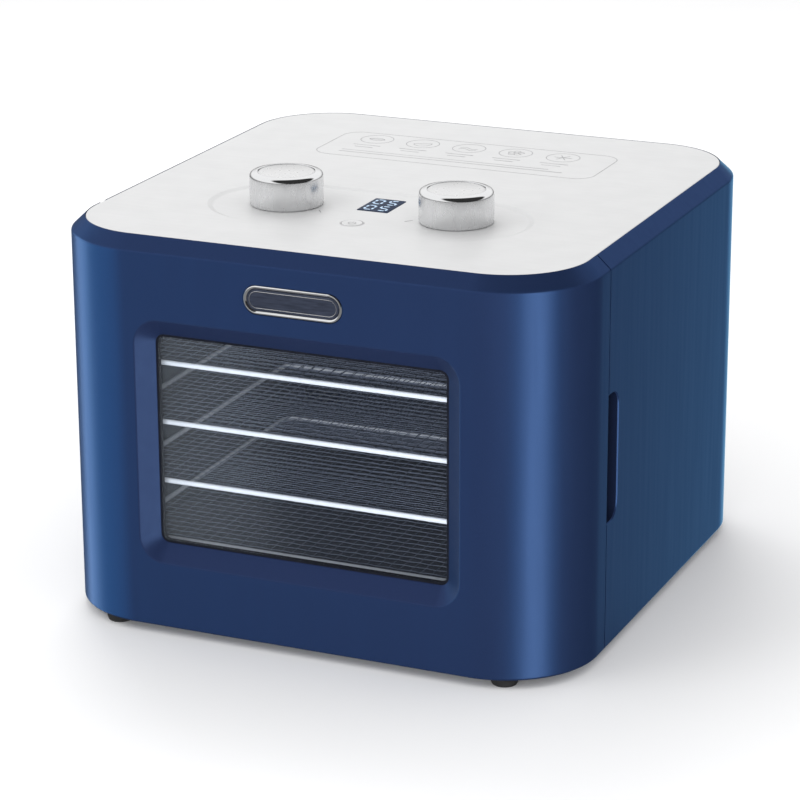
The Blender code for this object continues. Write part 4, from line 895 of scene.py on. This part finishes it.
# ---- controls
def make_knobs():
    for name in ("timer", "temperature"):
        low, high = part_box(name + "_knob")
        x = (low.x + high.x) / 2
        y = (low.y + high.y) / 2
        radius = (high.x - low.x) / 2
        top = high.z
        land = radius - KNOB_LAND
        sunk = top - 0.0012
        profile = [(0, sunk), (land, sunk), (land, top - 0.0001)]
        profile += [(land + 0.0003, top), (land + 0.0008, top - 0.00006)]
        shoulder = (radius - KNOB_ROUND, top - 0.0003 - KNOB_ROUND)
        profile += arc(shoulder, KNOB_ROUND, 80, 0, 10)
        bevel_rows = len(profile) - 2
        bore = radius - KNOB_WALL
        ceiling = top - 0.006
        hub_radius, hub_end = 0.006, low.z + 0.001
        profile += [(radius, low.z + 0.0006), (radius - 0.0004, low.z), (bore, low.z)]
        profile += [(bore, ceiling), (hub_radius, ceiling), (hub_radius, hub_end), (0, hub_end)]
        bands = [0] * bevel_rows + [1] * 3
        finishes = [CHROME, SATIN]
        knob = turned(name + "_knob_skin", profile, (x, y, 0), finishes, 128, bands=bands, angle=40)
        piece(knob, name + "_dial", "chrome", name + "_knob")
        cap_low, cap_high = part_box(name + "_knob_cap")
        cap_radius = (cap_high.x - cap_low.x) / 2
        cap_profile = [(0, top - 0.00015), (cap_radius - 0.0012, top - 0.00022)]
        cap_profile += [(cap_radius - 0.0004, top - 0.0004), (cap_radius, top - 0.0007)]
        cap_profile += [(cap_radius, cap_low.z), (0, cap_low.z)]
        cap = turned(name + "_cap_skin", cap_profile, (x, y, 0), [DISC], 96, angle=40)
        piece(cap, name + "_dial", "satin_cap", name + "_knob_cap")


SEGMENTS = {"0": "abcdef", "5": "afgcd"}


def segment_outline(letter, width, height, bar):
    """A seven-segment bar as a six-sided outline, round the digit's centre."""
    w, h = width / 2, height / 2
    spans = {
        "a": ((-w, h), (w, h)), "g": ((-w, 0), (w, 0)), "d": ((-w, -h), (w, -h)),
        "f": ((-w, 0), (-w, h)), "b": ((w, 0), (w, h)),
        "e": ((-w, -h), (-w, 0)), "c": ((w, -h), (w, 0)),
    }
    start, end = (Vector(point) for point in spans[letter])
    along = (end - start).normalized()
    across = Vector((-along.y, along.x))
    gap = bar * 0.30
    half = bar / 2
    start = start + along * gap
    end = end - along * gap
    points = [start, start + along * half - across * half, end - along * half - across * half]
    points += [end, end - along * half + across * half, start + along * half + across * half]
    return [(point.x, point.y) for point in points]


def make_display():
    """The dark lens and two rows of lit digits."""
    width = LENS_HIGH.x - LENS_LOW.x
    depth = LENS_HIGH.y - LENS_LOW.y
    outline = rounded_rect(width, depth, 0.0007, (0.0, LENS_Y), steps=4)
    lens = solid_plate("display_glass", outline, [], LENS_LOW.z, LENS_HIGH.z, [LCD], 0.0002)
    piece(lens, "cabinet", "display_lens", "display_lens")
    bm = bmesh.new()
    level = LENS_HIGH.z + 0.00003
    for row_y in (LENS_Y + DIGIT_ROW, LENS_Y - DIGIT_ROW):
        for index, digit in enumerate("05"):
            x = (index - 0.5) * DIGIT_PITCH
            for letter in SEGMENTS[digit]:
                outline = segment_outline(letter, DIGIT_WIDTH, DIGIT_HEIGHT, DIGIT_BAR)
                bm.faces.new(loop_verts(bm, [(x + u, row_y + v, level) for u, v in outline]))
    digits = new_object("display_digits", bm, [DIGIT])
    give_thickness(digits, PRINT_THICKNESS)
    piece(digits, "cabinet", "display_lens")


def make_button():
    top = BUTTON_HIGH.z
    radius = BUTTON_HIGH.x
    profile = [(0, top - 0.0003), (radius - 0.0018, top - 0.00025), (radius - 0.0008, top - 0.00005)]
    profile += [(radius - 0.0004, top), (radius - 0.0001, top - 0.0002), (radius, top - 0.0006)]
    skirt = BUTTON_LOW.z + 0.004
    stem = 0.002
    profile += [(radius, skirt), (stem, skirt), (stem, BUTTON_LOW.z), (0, BUTTON_LOW.z)]
    button = turned("power_key_skin", profile, (0, BUTTON_Y, 0), [WHITE], 64, angle=50)
    piece(button, "power_key", "white_panel", "power_button")
    level = top - 0.00018
    ring = [(u, BUTTON_Y + v) for u, v in arc((0.0, 0.0), 0.0021, 120, 420, 24)]
    bar = [(0.0, BUTTON_Y + 0.0008), (0.0, BUTTON_Y + 0.0027)]
    for name, line in (("power_ring", ring), ("power_bar", bar)):
        piece(ribbon(name, line, level, 0.0004, PRINT), "power_key", "white_panel")


def give_thickness(obj, thickness):
    modifier = obj.modifiers.new("thickness", "SOLIDIFY")
    modifier.thickness = thickness


def ribbon(name, outline, level, width, material, closed=False):
    """A printed line: a thin flat band along (x, y) points at one level."""
    bm = bmesh.new()
    left, right = [], []
    points = [Vector((x, y, level)) for x, y in outline]
    count = len(points)
    for i, point in enumerate(points):
        before = points[i - 1] if closed or i else point
        after = points[(i + 1) % count] if closed or i < count - 1 else point
        along = (after - before).normalized()
        across = Vector((-along.y, along.x, 0.0)) * (width / 2)
        left.append(bm.verts.new(point + across))
        right.append(bm.verts.new(point - across))
    bridge(bm, left, right, closed=closed)
    band = new_object(name, bm, [material])
    give_thickness(band, PRINT_THICKNESS)
    return band


PRINT_LEVEL = TOP_Z + PRINT_HEIGHT


def panel_print(name, outline, width=PRINT_LINE, material=PRINT, level=PRINT_LEVEL, closed=False):
    """A ribbon on the white panel."""
    piece(ribbon(name, outline, level, width, material, closed), "cabinet", "white_panel")


def make_legend():
    """The printed guide behind the dials: an outline, five plain icons and rows of rules."""
    panel_print("legend_frame", rounded_rect(0.176, 0.058, 0.011, (0.0, 0.080), steps=10), closed=True)
    for index in range(5):
        number = index + 1
        x = (index - 2) * ICON_PITCH - ICON_SHIFT
        panel_print(f"legend_ring_{number}", circle(ICON_RING, (x, ICON_Y), 40), closed=True)
        for row, points in enumerate(icon_lines(index)):
            line = [(x + u, ICON_Y + v) for u, v in points]
            panel_print(f"legend_icon_{number}_{row + 1}", line)
        for row, reach in enumerate((0.0088, 0.0058)):
            y = 0.0795 - row * 0.0048
            line = [(x - reach, y), (x + reach, y)]
            panel_print(f"legend_rule_{number}_{row + 1}", line, 0.0009, PALE_PRINT)
    for row in range(2):
        y = 0.0655 - row * 0.0045
        line = [(-0.074, y), (0.058 + 0.010 * row, y)]
        panel_print(f"legend_note_{row + 1}", line, 0.0008, PALE_PRINT)


def make_recess_prints():
    """The ring round the power key and a tick beside each dial, on the recess's floor."""
    level = TOP_Z - RECESS_DEPTH + PRINT_HEIGHT
    ring = circle(BUTTON_HIGH.x + 0.0007, (0.0, BUTTON_Y))
    panel_print("power_key_ring", ring, 0.00045, PALE_PRINT, level, closed=True)
    for side in (-1, 1):
        x = side * (KNOB_SPACING / 2) - side * 0.0262
        y = -0.0690
        line = [(x, y), (x + side * 0.0030, y + 0.0042)]
        panel_print(f"dial_mark_{(side + 3) // 2}", line, 0.0006, PRINT, level)


def icon_lines(index):
    """Plain food symbols: a leaf, a slice, a wave, a flower and a star, as short lines."""
    if index == 0:
        upper = arc((0.0, -0.0035), 0.0062, 35, 145, 10)
        lower = arc((0.0, 0.0035), 0.0062, 215, 325, 10)
        return [upper, lower, [(-0.0050, 0.0), (0.0050, 0.0)]]
    if index == 1:
        return [arc((0.0, 0.0), 0.0055, 200, 380, 14), [(-0.0052, -0.0019), (0.0052, 0.0019)]]
    if index == 2:
        wave = [(-0.0056 + 0.0112 * i / 16, 0.0016 * math.sin(2 * math.pi * i / 16)) for i in range(17)]
        return [wave, [(u, v - 0.0030) for u, v in wave]]
    if index == 3:
        petals = []
        for k in range(5):
            angle = 2 * math.pi * k / 5 + math.pi / 2
            centre = (0.0032 * math.cos(angle), 0.0032 * math.sin(angle))
            petals.append(arc(centre, 0.0019, 0, 359, 12))
        return petals
    spokes = []
    for k in range(3):
        angle = math.pi * k / 3
        u, v = 0.0055 * math.cos(angle), 0.0055 * math.sin(angle)
        spokes.append([(-u, -v), (u, v)])
    return spokes


make_knobs()
make_display()
make_button()
make_legend()
make_recess_prints()


# ---- door furniture
def make_badge():
    """A bright rim round a blank enamel plate with a thin inner line."""
    centre = (0.0, (BADGE_LOW.z + BADGE_HIGH.z) / 2)
    width = BADGE_HIGH.x - BADGE_LOW.x
    height = BADGE_HIGH.z - BADGE_LOW.z
    back = BADGE_HIGH.y
    proud = FRONT_Y - 0.0005

    def pill(inset):
        radius = height / 2 - inset - 0.00002
        return rounded_rect(width - 2 * inset, height - 2 * inset, radius, centre, steps=20)

    bm = bmesh.new()
    section = [(0.0, back), (0.0, FRONT_Y + 0.0001), (0.0004, proud + 0.00015), (0.0008, proud)]
    section += [(0.0011, proud + 0.0001), (0.0019, FRONT_Y + 0.0002), (0.0020, back)]
    rings = [upright_loop(bm, pill(inset), y) for inset, y in section]
    bridge_all(bm, rings + rings[:1])
    rim = new_object("badge_rim_skin", bm, [CHROME], angle=45)
    piece(rim, "door", "chrome", "badge_rim")
    inner = rounded_rect(width - 0.0042, height - 0.0042, height / 2 - 0.00215, centre, steps=20)
    face = solid_plate("badge_face", inner, [], FRONT_Y + 0.0002, back, [BADGE], 0.0001, "Y")
    piece(face, "door", "dark_plastic", "badge_plate")
    bm = bmesh.new()
    bridge_all(bm, [upright_loop(bm, pill(inset), FRONT_Y + 0.00016) for inset in (0.0033, 0.0036)])
    line = new_object("badge_line", bm, [CHROME])
    give_thickness(line, 0.00003)
    piece(line, "door", "chrome")


def make_window():
    """The pane with its dark printed border."""
    bm = bmesh.new()
    centre = (0.0, (GLASS_LOW.z + GLASS_HIGH.z) / 2)
    sizes = [
        (GLASS_HIGH.x - GLASS_LOW.x, GLASS_HIGH.z - GLASS_LOW.z, 0.0050),
        (WINDOW_WIDTH - 2 * WINDOW_BORDER, WINDOW_HEIGHT - 2 * WINDOW_BORDER, 0.0040),
    ]
    loops = {}
    for key, y in (("front", GLASS_LOW.y), ("back", GLASS_HIGH.y)):
        for ring, (width, height, radius) in enumerate(sizes):
            outline = rounded_rect(width, height, radius, centre, steps=8)
            loops[key, ring] = upright_loop(bm, outline, y)
    bridge(bm, loops["front", 0], loops["front", 1], material=1)
    bridge(bm, loops["back", 0], loops["back", 1], material=1)
    bridge(bm, loops["front", 0], loops["back", 0], material=1)
    fill_flat(bm, [loops["front", 1]], (0, -1, 0))
    fill_flat(bm, [loops["back", 1]], (0, 1, 0))
    pane = new_object("door_pane", bm, [GLASS, BORDER])
    PANE_LIT.objects.link(pane)
    piece(pane, "door", "glass", "door_window")


def make_seal():
    low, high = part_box("door_seal")
    radius = (high.y - low.y) / 2
    path = rounded_rect(
        high.x - low.x - 2 * radius, high.z - low.z - 2 * radius, 0.006,
        (0.0, (low.z + high.z) / 2), steps=8,
    )
    y = (low.y + high.y) / 2
    seal = wire("door_seal_skin", [(x, y, z) for x, z in path], radius, [RUBBER], cyclic=True, sides=12)
    piece(seal, "door", "rubber", "door_seal")


make_badge()
make_window()
make_seal()


# ---- trays
SQUARE = ((1, 0), (0, 1), (-1, 0), (0, -1))


def woven_wires(bm, low, high, level, pitch, radius):
    """A plain weave: each wire runs over and under the ones it crosses."""
    across = round((high.x - low.x) / pitch)
    along = round((high.y - low.y) / pitch)
    step_x = (high.x - low.x) / across
    step_y = (high.y - low.y) / along
    wave = radius * 0.7

    def strand(points, side):
        corners = [side * (u * radius) + Vector((0, 0, v * radius)) for u, v in SQUARE]
        rings = [loop_verts(bm, [point + corner for corner in corners]) for point in points]
        bridge_all(bm, rings)
        bm.faces.new(rings[0])
        bm.faces.new(rings[-1])

    def crossing(i, j, over, is_end):
        """Where two wires meet; a wire lies level at the frame."""
        lift = 0.0 if is_end else wave * over * (1 if (i + j) % 2 else -1)
        return Vector((low.x + i * step_x, low.y + j * step_y, level + lift))

    for i in range(1, across):
        points = [crossing(i, j, 1, j in (0, along)) for j in range(along + 1)]
        strand(points, Vector((1, 0, 0)))
    for j in range(1, along):
        points = [crossing(i, j, -1, i in (0, across)) for i in range(across + 1)]
        strand(points, Vector((0, 1, 0)))


def make_trays():
    for index in range(1, 5):
        low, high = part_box(f"tray_frame_{index}")
        radius = (high.z - low.z) / 2
        level = (low.z + high.z) / 2
        path = rounded_rect(
            high.x - low.x - 2 * radius, high.y - low.y - 2 * radius, 0.008,
            (0.0, (low.y + high.y) / 2), steps=8,
        )
        rod = wire(f"tray_rod_{index}", [(x, y, level) for x, y in path], radius, [ROD], True, 14)
        INSIDE_LIT.objects.link(rod)
        piece(rod, f"tray_{index}", "steel", f"tray_frame_{index}")
        mesh_low, mesh_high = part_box(f"tray_mesh_{index}")
        reach = Vector((radius, radius, 0)) * 1.1
        bm = bmesh.new()
        woven_wires(bm, mesh_low - reach, mesh_high + reach, level, WEAVE_PITCH, WEAVE_RADIUS)
        weave = new_object(f"tray_weave_{index}", bm, [MESH], angle=60)
        INSIDE_LIT.objects.link(weave)
        piece(weave, f"tray_{index}", "steel", f"tray_mesh_{index}")


make_trays()


# ---- rear and underside
def add_block(bm, place, angle, axis, size):
    """A turned box."""
    made = bmesh.ops.create_cube(bm, size=1.0)["verts"]
    turn = Matrix.Translation(place) @ Matrix.Rotation(angle, 4, axis)
    bmesh.ops.transform(bm, matrix=turn @ Matrix.Diagonal((*size, 1.0)), verts=made)


def make_rear_cover():
    """Two columns of louvres, a slanting slat behind each, and two screw holes."""
    middle = (COVER_LOW.z + COVER_HIGH.z) / 2
    width = COVER_HIGH.x - COVER_LOW.x
    outline = rounded_rect(width, COVER_HIGH.z - COVER_LOW.z, 0.010, (0.0, middle))
    pitch, rows, offset = 0.012, 8, 0.039
    heights = [middle + (row - (rows - 1) / 2) * pitch for row in range(rows)]
    louvres = [(side * offset, z) for side in (-1, 1) for z in heights]
    holes = [rounded_rect(0.070, 0.005, 0.0024, louvre, steps=5) for louvre in louvres]
    holes += [circle(0.0018, (side * 0.080, middle + 0.065), 20) for side in (-1, 1)]
    front, back = COVER_LOW.y, COVER_HIGH.y
    cover = solid_plate("rear_cover_skin", outline, holes, front, back, [DARK], 0.0005, "Y")
    piece(weighted(cover), "cabinet", "dark_plastic", "rear_cover")
    bm = bmesh.new()
    for x, z in louvres:
        add_block(bm, (x, COVER_LOW.y - 0.0030, z), -0.7, "X", (0.072, 0.0070, 0.0010))
    slats = new_object("rear_slats", bm, [DARK])
    soft = slats.modifiers.new("soft_edges", "BEVEL")
    soft.width = 0.0002
    soft.segments = 2
    piece(slats, "cabinet", "dark_plastic", "rear_cover")


def make_screws():
    for hand in ("left", "right"):
        low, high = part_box("rear_screw_" + hand)
        x, z = (low.x + high.x) / 2, (low.z + high.z) / 2
        radius = (high.x - low.x) / 2
        top = high.y
        profile = [(0, top), (radius * 0.45, top - 0.0001), (radius * 0.8, top - 0.0004)]
        shank = 0.0015
        under = top - 0.0017
        profile += [(radius, top - 0.0010), (radius, under), (shank, under), (shank, low.y), (0, low.y)]
        screw = turned("rear_screw_head_" + hand, profile, (x, 0, z), [STEEL], 40, axis="Y", angle=50)
        slots = bmesh.new()
        for angle in (0.4, 0.4 + math.pi / 2):
            add_block(slots, (x, top, z), angle, "Y", (0.0036, 0.0016, 0.0008))
        cutter = new_object("screw_slot_" + hand, slots, [STEEL])
        carve = screw.modifiers.new("cross", "BOOLEAN")
        carve.operation = "DIFFERENCE"
        carve.object = cutter
        carve.use_self = True
        graph = bpy.context.evaluated_depsgraph_get()
        data = bpy.data.meshes.new_from_object(screw.evaluated_get(graph))
        screw.modifiers.clear()
        screw.data = data
        bpy.data.objects.remove(cutter)
        piece(screw, "cabinet", "steel", "rear_screw_" + hand)


def make_feet():
    for end in ("front", "rear"):
        for hand in ("left", "right"):
            name = f"foot_{end}_{hand}"
            low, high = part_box(name)
            x, y = (low.x + high.x) / 2, (low.y + high.y) / 2
            radius = (high.x - low.x) / 2
            profile = [(0, high.z), (radius, high.z), (radius, high.z - 0.0006), (radius * 0.9, 0.0010)]
            profile += [(radius * 0.86, 0.0003), (radius * 0.8, 0.0), (radius * 0.5, 0.0)]
            profile += [(radius * 0.45, 0.0006), (0, 0.0006)]
            foot = turned(name + "_skin", profile, (x, y, 0), [RUBBER], 48, angle=50)
            piece(foot, "cabinet", "rubber", name)


def make_gland():
    low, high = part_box("cord_gland")
    x, z = (low.x + high.x) / 2, (low.z + high.z) / 2
    top = high.y
    wide = (high.x - low.x) / 2
    bore, neck = 0.0035, 0.0065
    shoulder = low.y + 0.003
    profile = [(bore, top - 0.0005), (0.0040, top), (0.0058, top), (neck, top - 0.0006)]
    profile += [(neck, shoulder), (wide, shoulder), (wide, low.y), (bore, low.y), (bore, top - 0.0005)]
    gland = turned("cord_gland_skin", profile, (x, 0, z), [RUBBER], 48, axis="Y", angle=45)
    piece(gland, "cabinet", "rubber", "cord_gland")


make_rear_cover()
make_screws()
make_feet()
make_gland()


# ---- finishes of the kept CAD nodes
CAD_FINISH = {
    "steel": STEEL, "dark_plastic": DARK, "rubber": RUBBER, "circuit_board": GREEN, "brass": BRASS,
    "blue_shell": BLUE, "white_panel": WHITE, "chrome": CHROME, "satin_cap": DISC, "glass": GLASS,
    "display_lens": LCD, "chamber_enamel": ENAMEL,
}


def dress_nodes():
    """Each kept CAD node gets its slot's finish; the chamber's walls join the chamber lighting."""
    slots = {entry["node"]: entry["material_slot"] for entry in frame["record"]["subparts"]}
    for name, node in frame["nodes"].items():
        node.data.materials.clear()
        node.data.materials.append(CAD_FINISH[slots[name]])
        if slots[name] == "chamber_enamel":
            INSIDE_LIT.objects.link(node)


dress_nodes()
